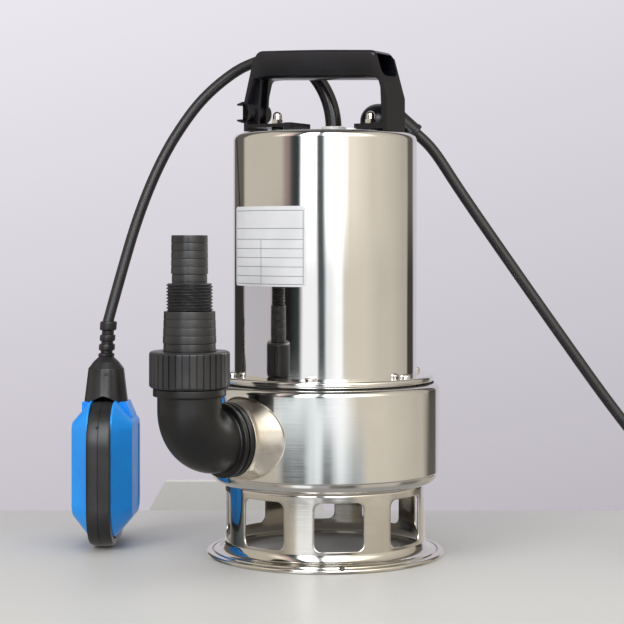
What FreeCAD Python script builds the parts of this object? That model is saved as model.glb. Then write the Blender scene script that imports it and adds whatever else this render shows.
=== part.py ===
"""Submersible sump pump with a strainer foot, a hose tail, a float switch and its two cables.

All lengths are in millimetres and all angles in degrees. The origin is on the pump's axis at the
floor, +Z is up and the front faces -Y. Bearings round the pump count from the front, positive to
the right as seen from there.
"""
import FreeCAD, Part
import math
import os
import re
import Sketcher

SIZES = {
    # Clearances, seals and sheet
    "gap": 0.3,
    "seat_gap": 0.1,
    "seal": 1.0,
    "sheet": 1.6,
    # Foot and strainer
    "foot_step": 4.2,
    "step_width": 8.1,
    "groove_floor": 2.8,
    "groove_width": 1.6,
    "lip_height": 3.6,
    "lip_round": 1.2,
    "lip_width": 5.8,
    "lip_back": 1.0,
    "skirt_radius": 76.5,
    "skirt_round": 2.6,
    "skirt_flange_radius": 56.0,
    "window_count": 8,
    "window_turn": 7.5,
    "window_width": 36.4,
    "window_bottom": 13.5,
    "window_height": 35.2,
    "window_round": 5.6,
    "base_screw_count": 4,
    "base_screw_circle": 66.0,
    "base_screw_turn": 22.0,
    "base_screw_length": 12.0,
    # Pump body and its discharge neck
    "body_bottom": 55.9,
    "body_height": 74.9,
    "body_radius": 88.0,
    "body_sheet": 2.0,
    "body_round": 9.0,
    "shoulder_round": 4.6,
    "rim_inner_radius": 68.0,
    "rim_height": 9.0,
    "rim_round": 3.0,
    "suction_radius": 28.0,
    "suction_ring_radius": 42.0,
    "neck_turn": -45,
    "neck_radius": 27.25,
    "neck_height": 94.3,
    "neck_root": 81.0,
    "neck_face": 98.0,
    # Cover and its screws
    "cover_seal": 0.6,
    "cover_radius": 83.2,
    "cover_thickness": 5.5,
    "cover_round": 2.3,
    "cover_opening": 38.0,
    "cover_screw_count": 6,
    "cover_screw_circle": 75.5,
    "cover_screw_turn": -8.7,
    "cover_screw_length": 14.0,
    "screw_radius": 2.5,
    "screw_head_radius": 3.9,
    "screw_head_height": 2.9,
    "screw_head_round": 1.4,
    "hex_across": 4.0,
    "hex_depth": 1.7,
    # Motor casing and its plate
    "casing_radius": 70.2,
    "casing_height": 183.1,
    "casing_sheet": 1.5,
    "casing_round": 9.5,
    "ring_wire": 1.6,
    "plate_thickness": 0.3,
    "plate_left_turn": -71.3,
    "plate_right_turn": -12.0,
    "plate_bottom": 205.0,
    "plate_height": 59.0,
    # Handle
    "handle_turn": -30,
    "handle_shift": 1.5,
    "handle_width": 30.0,
    "handle_reach": 62.5,
    "handle_wall": 3.3,
    "leg_upright": 25.5,
    "grip_reach": 52.4,
    "grip_bottom": 42.1,
    "grip_top": 63.9,
    "grip_arch": 0.7,
    "grip_fall": 2.3,
    "grip_arch_radius": 1800.0,
    "grip_end_round": 7.0,
    "grip_under_round": 4.0,
    "grip_rim": 2.3,
    "leg_rib": 3.0,
    "leg_rib_depth": 4.6,
    "right_rise": 2.1,
    "right_plate": 4.2,
    "right_heel": 0.5,
    "right_foot_end": 35.0,
    "left_rise": 6.0,
    "left_plate": 2.7,
    "left_heel": 3.4,
    "left_foot_end": 20.2,
    "left_block_length": 6.3,
    "left_block_bottom": 2.7,
    "left_block_top": 9.2,
    "clip_height": 18.2,
    "clip_bore": 5.3,
    "clip_wall": 3.0,
    "clip_reach": 69.0,
    "clip_inner": 58.5,
    "clip_lip": 1.0,
    "stud_reach": 41.0,
    "stud_radius": 2.5,
    "stud_bottom": 270.0,
    "washer_radius": 6.5,
    "spacer_radius": 4.6,
    "nut_across": 8.0,
    "nut_height": 4.0,
    "nut_dome_radius": 3.6,
    "nut_dome_height": 6.2,
    "stud_in_nut": 6.0,
    # Cable entries on the casing
    "gland_across": 7.0,
    "gland_back": 30.0,
    "gland_radius": 9.35,
    "gland_height": 7.7,
    "sleeve_radius": 6.45,
    "sleeve_tip_radius": 4.9,
    "sleeve_heading_turn": 160.5,
    "sleeve_straight": 6.0,
    "sleeve_low_bend": 64.0,
    "sleeve_low_turn": 45.0,
    "sleeve_high_bend": 42.5,
    "sleeve_high_turn": 61.0,
    "hood_across": 44.0,
    "hood_back": 20.0,
    "hood_radius": 16.5,
    "hood_height": 24.8,
    "hood_round": 13.5,
    "hood_foot_radius": 18.0,
    "hood_foot": 2.2,
    "nozzle_turn": 8.3,
    "nozzle_fall": 39.0,
    "nozzle_length": 24.0,
    "nozzle_root_radius": 7.8,
    "nozzle_radius": 6.6,
    "nozzle_rim_radius": 7.2,
    "nozzle_rim": 3.0,
    "nozzle_root_reach": 8.9,
    "nozzle_root_height": 17.2,
    # Discharge fitting
    "fitting_reach": 137.0,
    "elbow_radius": 22.95,
    "elbow_bore": 20.0,
    "elbow_bend": 24.0,
    "collar_radius": 27.2,
    "collar_ridge": 3.6,
    "collar_groove": 1.4,
    "collar_groove_depth": 1.4,
    "elbow_ring_radius": 26.0,
    "elbow_ring_bottom": 128.5,
    "elbow_ring_height": 5.7,
    "spigot_top": 150.0,
    "nut_outer_radius": 28.7,
    "nut_rib_depth": 0.9,
    "nut_rib_width": 3.9,
    "nut_rib_count": 36,
    "nut_top": 160.5,
    "nut_lip": 5.2,
    "nut_edge": 1.6,
    "tail_flange_radius": 22.6,
    "tail_flange": 4.0,
    "tail_neck_radius": 18.6,
    "low_barb_radius": 19.2,
    "low_barb_top": 188.8,
    "low_barb_count": 5,
    "barb_taper": 0.2,
    "barb_depth": 0.55,
    "barb_land": 1.5,
    "thread_radius": 16.6,
    "thread_top": 208.5,
    "thread_chamfer": 1.0,
    "high_barb_radius": 13.2,
    "high_barb_bottom": 209.7,
    "high_barb_top": 242.7,
    "high_barb_count": 6,
    "high_barb_taper": 0.04,
    "tail_low_bore": 14.0,
    "tail_bore": 10.0,
    # Float switch, measured from the pivot above it
    "pivot_across": -171.9,
    "pivot_back": 36.0,
    "pivot_height": 169.6,
    "float_turn": 2,
    "float_width": 90.0,
    "float_height": 116.4,
    "float_drop": 50.6,
    "float_low_round": 32.0,
    "float_high_round": 28.0,
    "band_width": 18.4,
    "band_wall": 2.6,
    "bevel_width": 14.5,
    "bevel_depth": 22.0,
    "shell_wall": 2.2,
    "boot_ball": 6.4,
    "boot_eye_width": 4.0,
    "boot_core": 5.4,
    "boot_collar": 6.6,
    "boot_collar_height": 2.6,
    "boot_collar_pitch": 5.6,
    "boot_collar_count": 4,
    "boot_neck": 23.4,
    "boot_cone_radius": 8.3,
    "boot_shoulder": 30.6,
    "boot_shoulder_radius": 14.0,
    "boot_skirt": 37.6,
    "boot_skirt_radius": 15.5,
    "boot_bottom": 57.6,
    "boot_bottom_radius": 17.5,
    "ball_radius": 8.1,
    "track_top": 87.0,
    "track_bottom": 152.0,
    "track_wall": 2.0,
    "track_web": 2.4,
    "switch_width": 20.0,
    "switch_depth": 12.0,
    "switch_height": 15.0,
    "plunger_radius": 1.6,
    "plunger_length": 13.5,
    # Shaft, seals and impeller
    "shaft_low_radius": 6.0,
    "shaft_seal_radius": 8.0,
    "shaft_bearing_radius": 10.0,
    "shaft_top_radius": 7.5,
    "shaft_bottom": 80.0,
    "shaft_thread_radius": 4.0,
    "shaft_core_radius": 12.0,
    "shaft_top_gap": 0.4,
    "impeller_radius": 55.0,
    "impeller_top": 108.0,
    "impeller_bore_gap": 0.1,
    "shroud": 3.6,
    "vane_height": 12.0,
    "vane_thickness": 2.6,
    "vane_count": 6,
    "vane_root": 10.0,
    "vane_knee": 30.0,
    "vane_reach": 26.0,
    "vane_turn": 45.0,
    "vane_bend": 38.0,
    "hub_radius": 12.0,
    "hub_bottom": 88.0,
    "lock_nut_across": 13.0,
    "lock_nut_height": 6.5,
    "oil_radius": 48.0,
    "oil_wall": 3.0,
    "oil_flange_radius": 58.0,
    "oil_flange": 4.0,
    "oil_bottom": 111.5,
    "oil_round": 4.0,
    "seat_radius": 14.0,
    "seat_height": 6.5,
    "seal_head_radius": 12.5,
    "seal_head_height": 16.0,
    "seal_collar": 3.0,
    "seal_waist": 2.0,
    # Motor
    "bracket_plate": 6.0,
    "bracket_hub_radius": 29.0,
    "bracket_hub_height": 23.2,
    "bracket_rim": 2.7,
    "lip_bore": 15.0,
    "lip_seal_lift": 1.0,
    "lip_seal_height": 7.0,
    "bearing_lift": 8.6,
    "shield": 0.8,
    "shield_gap": 0.4,
    "low_bearing_radius": 23.5,
    "low_bearing_height": 14.0,
    "low_bearing_inner": 14.2,
    "low_bearing_outer": 18.6,
    "high_bearing_radius": 17.5,
    "high_bearing_height": 11.0,
    "high_bearing_inner": 10.8,
    "high_bearing_outer": 14.0,
    "frame_radius": 64.0,
    "frame_wall": 3.9,
    "motor_top": 272.0,
    "top_bracket": 6.0,
    "top_hub_radius": 22.0,
    "top_hub_floor": 4.9,
    "core_bottom": 175.0,
    "core_height": 75.0,
    "air_gap": 0.4,
    "rotor_radius": 30.0,
    "slot_count": 24,
    "slot_width": 3.6,
    "slot_depth": 14.0,
    "winding_inner": 36.0,
    "winding_outer": 55.0,
    "winding_height": 16.0,
    "winding_round": 5.0,
    "bracket_screw_circle": 54.0,
    "bracket_screw_count": 4,
    "bracket_screw_length": 9.0,
    "capacitor_radius": 16.0,
    "capacitor_length": 62.0,
    "terminal_length": 26.0,
    "terminal_width": 12.0,
    "terminal_height": 11.0,
    "terminal_across": -34.0,
    "terminal_back": -22.0,
    # Cables, coil and plug
    "cable_radius": 4.3,
    "coil_entry_across": 355.0,
    "coil_entry_back": 31.0,
    "coil_inner": 61.5,
    "coil_pitch": 9.3,
    "coil_layers": 4,
    "layer_half_turns": 8,
    "coil_lift": 1.5,
    "tie_thickness": 1.2,
    "tie_width": 12.0,
    "tie_side_gap": 0.8,
    "plug_radius": 18.5,
    "plug_length": 44.0,
    "plug_face_radius": 17.6,
    "plug_neck_radius": 6.6,
    "plug_neck_length": 18.0,
    "plug_waist_radius": 13.5,
    "plug_round": 2.0,
    "pin_radius": 2.4,
    "pin_length": 19.0,
    "pin_spacing": 19.0,
}

UP = FreeCAD.Vector(0, 0, 1)

HEXAGON_SIDES = 6
CORNER_SHARE = 0.45
COIL_SAMPLES = 24

DOC = FreeCAD.newDocument("sump_pump")
SHEET = DOC.addObject("Spreadsheet::Sheet", "size")
for row, (alias, value) in enumerate(SIZES.items(), start=1):
    SHEET.set(f"A{row}", alias.replace("_", " "))
    SHEET.set(f"B{row}", str(value))
    SHEET.setAlias(f"B{row}", alias)
DOC.recompute()


def cell(words):
    """Writes each size's name in an expression as its cell of the sheet."""
    return re.sub("[a-z_]+", lambda word: "size." + word[0] if word[0] in SIZES else word[0], words)


def number(words):
    return float(SHEET.evalExpression(cell(words)))


def point(across, back, height):
    return FreeCAD.Vector(number(across), number(back), number(height))


# Heights and places that several sub-parts share
STEP_RADIUS = "(skirt_radius + step_width)"
FOOT_RADIUS = "(skirt_radius + step_width + lip_width)"
SKIRT_FLARE = "(step_width - groove_width / 2 - gap)"
BODY_TOP = "(body_bottom + body_height)"
COVER_BOTTOM = "(body_bottom + body_height + cover_seal)"
COVER_TOP = "(body_bottom + body_height + cover_seal + cover_thickness)"
CASING_TOP = "(body_bottom + body_height + cover_seal + cover_thickness + casing_height)"
FITTING_ACROSS = "fitting_reach * sin(neck_turn)"
FITTING_BACK = "-fitting_reach * cos(neck_turn)"
ELBOW_FACE = "(neck_face + seal)"
ELBOW_TOP = "(elbow_ring_bottom + elbow_ring_height)"
TAIL_BOTTOM = "(spigot_top + seal)"
FLOAT_BOTTOM = "(-float_drop - float_height)"
CORE_TOP = "(core_bottom + core_height)"
LOW_BEARING = f"({COVER_TOP} + bearing_lift)"
TOP_BEARING = "(motor_top + top_bracket - top_hub_floor - high_bearing_height - seat_gap)"
HANDLE_ACROSS = "-handle_shift * cos(handle_turn)"
HANDLE_BACK = "-handle_shift * sin(handle_turn)"
RIGHT_STUD = ("(stud_reach - handle_shift) * cos(handle_turn)",
              "(stud_reach - handle_shift) * sin(handle_turn)")
LEFT_STUD = ("-(stud_reach + handle_shift) * cos(handle_turn)",
             "-(stud_reach + handle_shift) * sin(handle_turn)")


def place(item, across="0", back="0", height="0", turn="0"):
    """Puts a sub-part at a point, turned about the vertical."""
    spot = f"vector({cell(across)}; {cell(back)}; {cell(height)})"
    item.setExpression("Placement", f"placement({spot}; rotation(vector(0; 0; 1); {cell(turn)}))")


def new_body(name, across="0", back="0", height="0", turn="0"):
    body = DOC.addObject("PartDesign::Body", name)
    body.Label = name
    body.AllowCompound = True
    place(body, across, back, height, turn)
    return body


def origin_part(body, role):
    return [part for part in body.Origin.OriginFeatures if part.Role == role][0]


def sketch_on(body, role, name, ahead="0"):
    """A sketch on one of the body's origin planes, moved ahead along that plane's normal."""
    sketch = body.newObject("Sketcher::SketchObject", name)
    sketch.AttachmentSupport = [(origin_part(body, role), "")]
    sketch.MapMode = "FlatFace"
    sketch.setExpression("AttachmentOffset.Base.z", cell(ahead))
    return sketch


def pin_point(sketch, geometry, end, across, up):
    """Constraints that hold a point at two sizes from the sketch's origin."""
    held = []
    if across == "0":
        held.append((Sketcher.Constraint("PointOnObject", geometry, end, -2), None))
    else:
        held.append((Sketcher.Constraint("DistanceX", -1, 1, geometry, end, number(across)), across))
    if up == "0":
        held.append((Sketcher.Constraint("PointOnObject", geometry, end, -1), None))
    else:
        held.append((Sketcher.Constraint("DistanceY", -1, 1, geometry, end, number(up)), up))
    return held


def constrain(sketch, held):
    """Adds constraints to a sketch and binds those that have a size."""
    first = sketch.ConstraintCount
    sketch.addConstraint([constraint for constraint, words in held])
    for index, (constraint, words) in enumerate(held, start=first):
        if words is not None:
            sketch.setExpression(f"Constraints[{index}]", cell(words))


def outline(sketch, corners, closed=True):
    """Draws straight sides through corners (across, up), or (across, up, rounding)."""
    spots = [FreeCAD.Vector(number(corner[0]), number(corner[1]), 0) for corner in corners]
    count = len(corners)
    tangents = []
    for index, corner in enumerate(corners):
        spot = spots[index]
        if len(corner) < 3:
            tangents.append((spot, spot, None))
            continue
        back = (spots[index - 1] - spot).normalize()
        ahead = (spots[(index + 1) % count] - spot).normalize()
        half = back.getAngle(ahead) / 2
        radius = number(corner[2])
        middle = (back + ahead).normalize()
        inside = spot + middle * (radius / math.sin(half) - radius)
        reach = radius / math.tan(half)
        tangents.append((spot + back * reach, spot + ahead * reach, inside))
    sides = []
    for index in range(count if closed else count - 1):
        line = Part.LineSegment(tangents[index][1], tangents[(index + 1) % count][0])
        sides.append(sketch.addGeometry(line, False))
    held = []
    for index, corner in enumerate(corners):
        before, after, inside = tangents[index]
        if not closed and index == count - 1:
            held += pin_point(sketch, sides[-1], 2, corner[0], corner[1])
            continue
        if inside is None:
            if closed or index > 0:
                held.append((Sketcher.Constraint("Coincident", sides[index - 1], 2, sides[index], 1), None))
            held += pin_point(sketch, sides[index], 1, corner[0], corner[1])
            continue
        turns_left = (spots[index] - before).cross(after - spots[index]).z > 0
        near, far = (1, 2) if turns_left else (2, 1)
        curve = Part.Arc(before, inside, after) if turns_left else Part.Arc(after, inside, before)
        arc = sketch.addGeometry(curve, False)
        mark = sketch.addGeometry(Part.Point(spots[index]), True)
        held.append((Sketcher.Constraint("Tangent", sides[index - 1], 2, arc, near), None))
        held.append((Sketcher.Constraint("Tangent", arc, far, sides[index], 1), None))
        held.append((Sketcher.Constraint("PointOnObject", mark, 1, sides[index - 1]), None))
        held.append((Sketcher.Constraint("PointOnObject", mark, 1, sides[index]), None))
        held.append((Sketcher.Constraint("Radius", arc, number(corner[2])), corner[2]))
        held += pin_point(sketch, mark, 1, corner[0], corner[1])
    constrain(sketch, held)


def box_outline(sketch, left, right, bottom, top, *rounding):
    """A rectangle, with all corners rounded alike if a rounding is given."""
    outline(sketch, [(left, bottom, *rounding), (right, bottom, *rounding),
                     (right, top, *rounding), (left, top, *rounding)])


def circles(sketch, across, up, *radii):
    """Circles of the given radii round one point."""
    centre = FreeCAD.Vector(number(across), number(up), 0)
    for radius in radii:
        circle = sketch.addGeometry(Part.Circle(centre, UP, number(radius)), False)
        held = pin_point(sketch, circle, 3, across, up)
        held.append((Sketcher.Constraint("Radius", circle, number(radius)), radius))
        constrain(sketch, held)


def hexagon(sketch, across, up, flats):
    """A hexagon with the given width across its flats, round one point."""
    corners = []
    for side in range(HEXAGON_SIDES):
        bearing = side * 360 / HEXAGON_SIDES
        corners.append((f"{across} + {flats} / sqrt(3) * cos({bearing})",
                        f"{up} + {flats} / sqrt(3) * sin({bearing})"))
    outline(sketch, corners)


def axis_line(sketch, start, end):
    """A construction line between two points (across, up), as an axis to turn about."""
    ends = [FreeCAD.Vector(number(across), number(up), 0) for across, up in (start, end)]
    line = sketch.addGeometry(Part.LineSegment(*ends), True)
    constrain(sketch, pin_point(sketch, line, 1, *start) + pin_point(sketch, line, 2, *end))


def feature(body, kind, name, profile):
    made = body.newObject("PartDesign::" + kind, name)
    made.Profile = profile
    body.Tip = made
    return made


def check_cut(body, name, before):
    DOC.recompute()
    if body.Shape.Volume > before - 0.01:
        raise RuntimeError(f"{body.Label}: {name} cuts nothing")


def revolve(body, sketch, name, axis="V_Axis", angle="360"):
    made = feature(body, "Revolution", name, sketch)
    made.ReferenceAxis = (sketch, [axis])
    made.setExpression("Angle", cell(angle))
    return made


def pad(body, sketch, name, length, both_ways=False, reverse=False):
    made = feature(body, "Pad", name, sketch)
    made.setExpression("Length", cell(length))
    made.SideType = "Symmetric" if both_ways else "One side"
    made.Reversed = reverse
    return made


def pocket(body, sketch, name, length, both_ways=False, reverse=False):
    DOC.recompute()
    before = body.Shape.Volume
    made = feature(body, "Pocket", name, sketch)
    made.setExpression("Length", cell(length))
    made.SideType = "Symmetric" if both_ways else "One side"
    made.Reversed = reverse
    check_cut(body, name, before)
    return made


def pattern(body, originals, name, count):
    """Repeats features evenly round the body's upright axis."""
    made = body.newObject("PartDesign::PolarPattern", name)
    made.Originals = originals
    made.Axis = (origin_part(body, "Z_Axis"), [""])
    made.Angle = 360
    made.setExpression("Occurrences", cell(count))
    body.Tip = made
    return made


def round_plate(name, inner, outer, bottom, thickness, **at):
    """A flat ring with its centre on the body's upright axis."""
    body = new_body(name, **at)
    sketch = sketch_on(body, "XY_Plane", name + "_ring", bottom)
    circles(sketch, "0", "0", outer, inner)
    pad(body, sketch, name + "_pad", thickness)
    return body


def pan_screws(name, circle, count, turn, seat, length, point_up=False):
    """Pan-head hexagon-socket screws round a circle, each with its head on the seat."""
    body = new_body(name, height=seat, turn=f"{turn} - 90")
    sketch = sketch_on(body, "XZ_Plane", name + "_profile")
    sign = "-" if point_up else ""
    outline(sketch, [
        (circle, f"-({sign}{length})"),
        (f"{circle} + screw_radius", f"-({sign}{length})"),
        (f"{circle} + screw_radius", "0"),
        (f"{circle} + screw_head_radius", "0"),
        (f"{circle} + screw_head_radius", f"{sign}screw_head_height", "screw_head_round"),
        (f"{circle}", f"{sign}screw_head_height"),
    ])
    axis_line(sketch, (circle, "0"), (circle, "screw_head_height"))
    turned = revolve(body, sketch, name + "_turned", "Axis0")
    socket = sketch_on(body, "XY_Plane", name + "_socket", f"{sign}screw_head_height")
    hexagon(socket, circle, "0", "hex_across")
    socket_cut = pocket(body, socket, name + "_socket_cut", "hex_depth", reverse=point_up)
    pattern(body, [turned, socket_cut], name + "_round", count)
    return body


def drill(body, name, level, depth, holes):
    """Round holes (across, back, radius) downwards from a level."""
    sketch = sketch_on(body, "XY_Plane", name, level)
    for across, back, radius in holes:
        circles(sketch, across, back, radius)
    return pocket(body, sketch, name + "_cut", depth)


def strainer_base():
    """A pressed skirt with a rolled foot, an inner flange at the top and eight windows."""
    body = new_body("strainer_base", turn="window_turn")
    profile = sketch_on(body, "XZ_Plane", "skirt_profile")
    outline(profile, [
        ("skirt_flange_radius", "body_bottom - sheet"),
        ("skirt_flange_radius", "body_bottom"),
        ("skirt_radius", "body_bottom", "skirt_round"),
        ("skirt_radius", "foot_step", SKIRT_FLARE),
        (STEP_RADIUS, "foot_step"),
        (f"{STEP_RADIUS} + groove_width / 2", "groove_floor"),
        (f"{STEP_RADIUS} + groove_width", "lip_height"),
        (FOOT_RADIUS, "lip_height", "lip_round"),
        (FOOT_RADIUS, "0", "lip_round / 2"),
        (f"{STEP_RADIUS} - lip_back", "0"),
        (f"{STEP_RADIUS} - lip_back", "foot_step - sheet"),
        ("skirt_radius - sheet", "foot_step - sheet", f"{SKIRT_FLARE} + sheet"),
        ("skirt_radius - sheet", "body_bottom - sheet", "skirt_round - sheet"),
    ])
    revolve(body, profile, "skirt")
    window = sketch_on(body, "XZ_Plane", "window", "skirt_flange_radius")
    box_outline(window, "-window_width / 2", "window_width / 2",
                "window_bottom", "window_bottom + window_height", "window_round")
    opened = pocket(body, window, "window_cut", f"{FOOT_RADIUS} - skirt_flange_radius", reverse=True)
    pattern(body, [opened], "windows", "window_count")
    hole = sketch_on(body, "XY_Plane", "base_hole", "body_bottom")
    circles(hole, "base_screw_circle * sin(base_screw_turn - window_turn)",
            "-base_screw_circle * cos(base_screw_turn - window_turn)", "screw_radius + seat_gap")
    drilled = pocket(body, hole, "base_hole_cut", "sheet")
    pattern(body, [drilled], "base_holes", "base_screw_count")


def pump_body():
    """The volute: a pressed cup with a shoulder turned inwards over its rim."""
    body = new_body("pump_body", turn="neck_turn")
    profile = sketch_on(body, "XZ_Plane", "cup_profile")
    inner = "body_radius - body_sheet"
    floor_inner = "suction_ring_radius + seat_gap"
    outline(profile, [
        (floor_inner, "body_bottom"),
        ("body_radius", "body_bottom", "body_round"),
        ("body_radius", BODY_TOP, "shoulder_round"),
        ("rim_inner_radius", BODY_TOP),
        ("rim_inner_radius", f"{BODY_TOP} - body_sheet"),
        (inner, f"{BODY_TOP} - body_sheet", "shoulder_round - body_sheet"),
        (inner, "body_bottom + body_sheet", "body_round - body_sheet"),
        (floor_inner, "body_bottom + body_sheet"),
    ])
    revolve(body, profile, "cup")
    hole = sketch_on(body, "XZ_Plane", "neck_hole_circle", "neck_face")
    circles(hole, "0", "neck_height", "neck_radius + seat_gap")
    pocket(body, hole, "neck_hole", "neck_face - neck_root")
    screw_holes(body, "rim_hole", BODY_TOP, "cover_screw", "body_sheet")
    screw_holes(body, "foot_hole", "body_bottom + body_sheet", "base_screw", "body_sheet")


def screw_holes(body, name, level, screw, depth):
    """Clearance holes downwards from a level for a ring of screws, on a body turned to the neck."""
    hole = sketch_on(body, "XY_Plane", name, level)
    circles(hole, f"{screw}_circle * sin({screw}_turn - neck_turn)",
            f"-{screw}_circle * cos({screw}_turn - neck_turn)", "screw_radius + seat_gap")
    drilled = pocket(body, hole, name + "_cut", depth)
    pattern(body, [drilled], name + "s", f"{screw}_count")


def suction_ring():
    """The wear ring pressed in the pump body's floor, round the hole that the impeller draws from."""
    round_plate("suction_ring", "suction_radius", "suction_ring_radius", "body_bottom", "body_sheet")


def body_rim():
    """The thick ring welded under the pump body's shoulder, which the cover's screws bite in."""
    body = new_body("body_rim", turn="neck_turn")
    profile = sketch_on(body, "XZ_Plane", "rim_profile")
    outer = "body_radius - body_sheet - seat_gap"
    outline(profile, [
        ("rim_inner_radius", f"{BODY_TOP} - rim_height"),
        (outer, f"{BODY_TOP} - rim_height"),
        (outer, f"{BODY_TOP} - body_sheet", "rim_round"),
        ("rim_inner_radius", f"{BODY_TOP} - body_sheet"),
    ])
    revolve(body, profile, "rim")
    screw_holes(body, "rim_screw_hole", f"{BODY_TOP} - body_sheet", "cover_screw", "rim_height - body_sheet")


def discharge_neck():
    """The tube set through the pump body's wall and welded there."""
    body = new_body("discharge_neck", turn="neck_turn")
    ring = sketch_on(body, "XZ_Plane", "neck_ring", "neck_root")
    circles(ring, "0", "neck_height", "neck_radius", "neck_radius - body_sheet")
    pad(body, ring, "neck", "neck_face - neck_root")


def pump_cover():
    """The rolled ring between the pump body and the motor casing."""
    body = new_body("pump_cover", turn="cover_screw_turn")
    profile = sketch_on(body, "XZ_Plane", "cover_profile")
    outline(profile, [
        ("cover_opening", COVER_BOTTOM),
        ("cover_radius", COVER_BOTTOM, "cover_round"),
        ("cover_radius", COVER_TOP, "cover_round"),
        ("cover_opening", COVER_TOP),
    ])
    revolve(body, profile, "cover_ring")
    hole = sketch_on(body, "XY_Plane", "cover_hole", COVER_TOP)
    circles(hole, "0", "-cover_screw_circle", "screw_radius + seat_gap")
    drilled = pocket(body, hole, "cover_hole_cut", "cover_thickness")
    pattern(body, [drilled], "cover_holes", "cover_screw_count")
    bracket_hole = sketch_on(body, "XY_Plane", "bracket_hole", COVER_TOP)
    circles(bracket_hole, "-bracket_screw_circle * sin(cover_screw_turn)",
            "-bracket_screw_circle * cos(cover_screw_turn)", "screw_radius + seat_gap")
    drilled = pocket(body, bracket_hole, "bracket_hole_cut", "cover_thickness")
    pattern(body, [drilled], "bracket_holes", "bracket_screw_count")


def cover_gasket():
    body = new_body("cover_gasket", turn="cover_screw_turn")
    sketch = sketch_on(body, "XY_Plane", "gasket_ring", BODY_TOP)
    circles(sketch, "0", "0", "cover_radius", "rim_inner_radius")
    pad(body, sketch, "gasket_pad", "cover_seal")
    hole = sketch_on(body, "XY_Plane", "gasket_hole", COVER_BOTTOM)
    circles(hole, "0", "-cover_screw_circle", "screw_radius + seat_gap")
    drilled = pocket(body, hole, "gasket_hole_cut", "cover_seal")
    pattern(body, [drilled], "gasket_holes", "cover_screw_count")


def motor_casing():
    """A deep-drawn cup over the motor, with holes in its top for the studs and cables."""
    body = new_body("motor_casing")
    profile = sketch_on(body, "XZ_Plane", "casing_profile")
    inner = "casing_radius - casing_sheet"
    inner_top = f"{CASING_TOP} - casing_sheet"
    outline(profile, [
        ("casing_radius", COVER_TOP),
        ("casing_radius", CASING_TOP, "casing_round"),
        ("0", CASING_TOP),
        ("0", inner_top),
        (inner, inner_top, "casing_round - casing_sheet"),
        (inner, COVER_TOP),
    ])
    revolve(body, profile, "casing_cup")
    drill(body, "casing_holes", CASING_TOP, "casing_sheet", [
        (*RIGHT_STUD, "stud_radius + seat_gap"),
        (*LEFT_STUD, "stud_radius + seat_gap"),
        ("gland_across", "gland_back", "sleeve_radius + seat_gap"),
        ("hood_across", "hood_back", "cable_radius + gap"),
    ])


def casing_oring():
    """A round cord in the corner between the casing and the lower bracket."""
    body = new_body("casing_oring")
    sketch = sketch_on(body, "XZ_Plane", "oring_section")
    circles(sketch, "casing_radius - casing_sheet - ring_wire - seat_gap", f"{COVER_TOP} + ring_wire",
            "ring_wire")
    revolve(body, sketch, "oring")


def rating_label():
    """A thin plate curved round the casing."""
    body = new_body("rating_label", turn="plate_left_turn - 90")
    sketch = sketch_on(body, "XZ_Plane", "plate_section")
    box_outline(sketch, "casing_radius + seat_gap", "casing_radius + seat_gap + plate_thickness",
                "plate_bottom", "plate_bottom + plate_height")
    revolve(body, sketch, "plate", angle="plate_right_turn - plate_left_turn")


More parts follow.
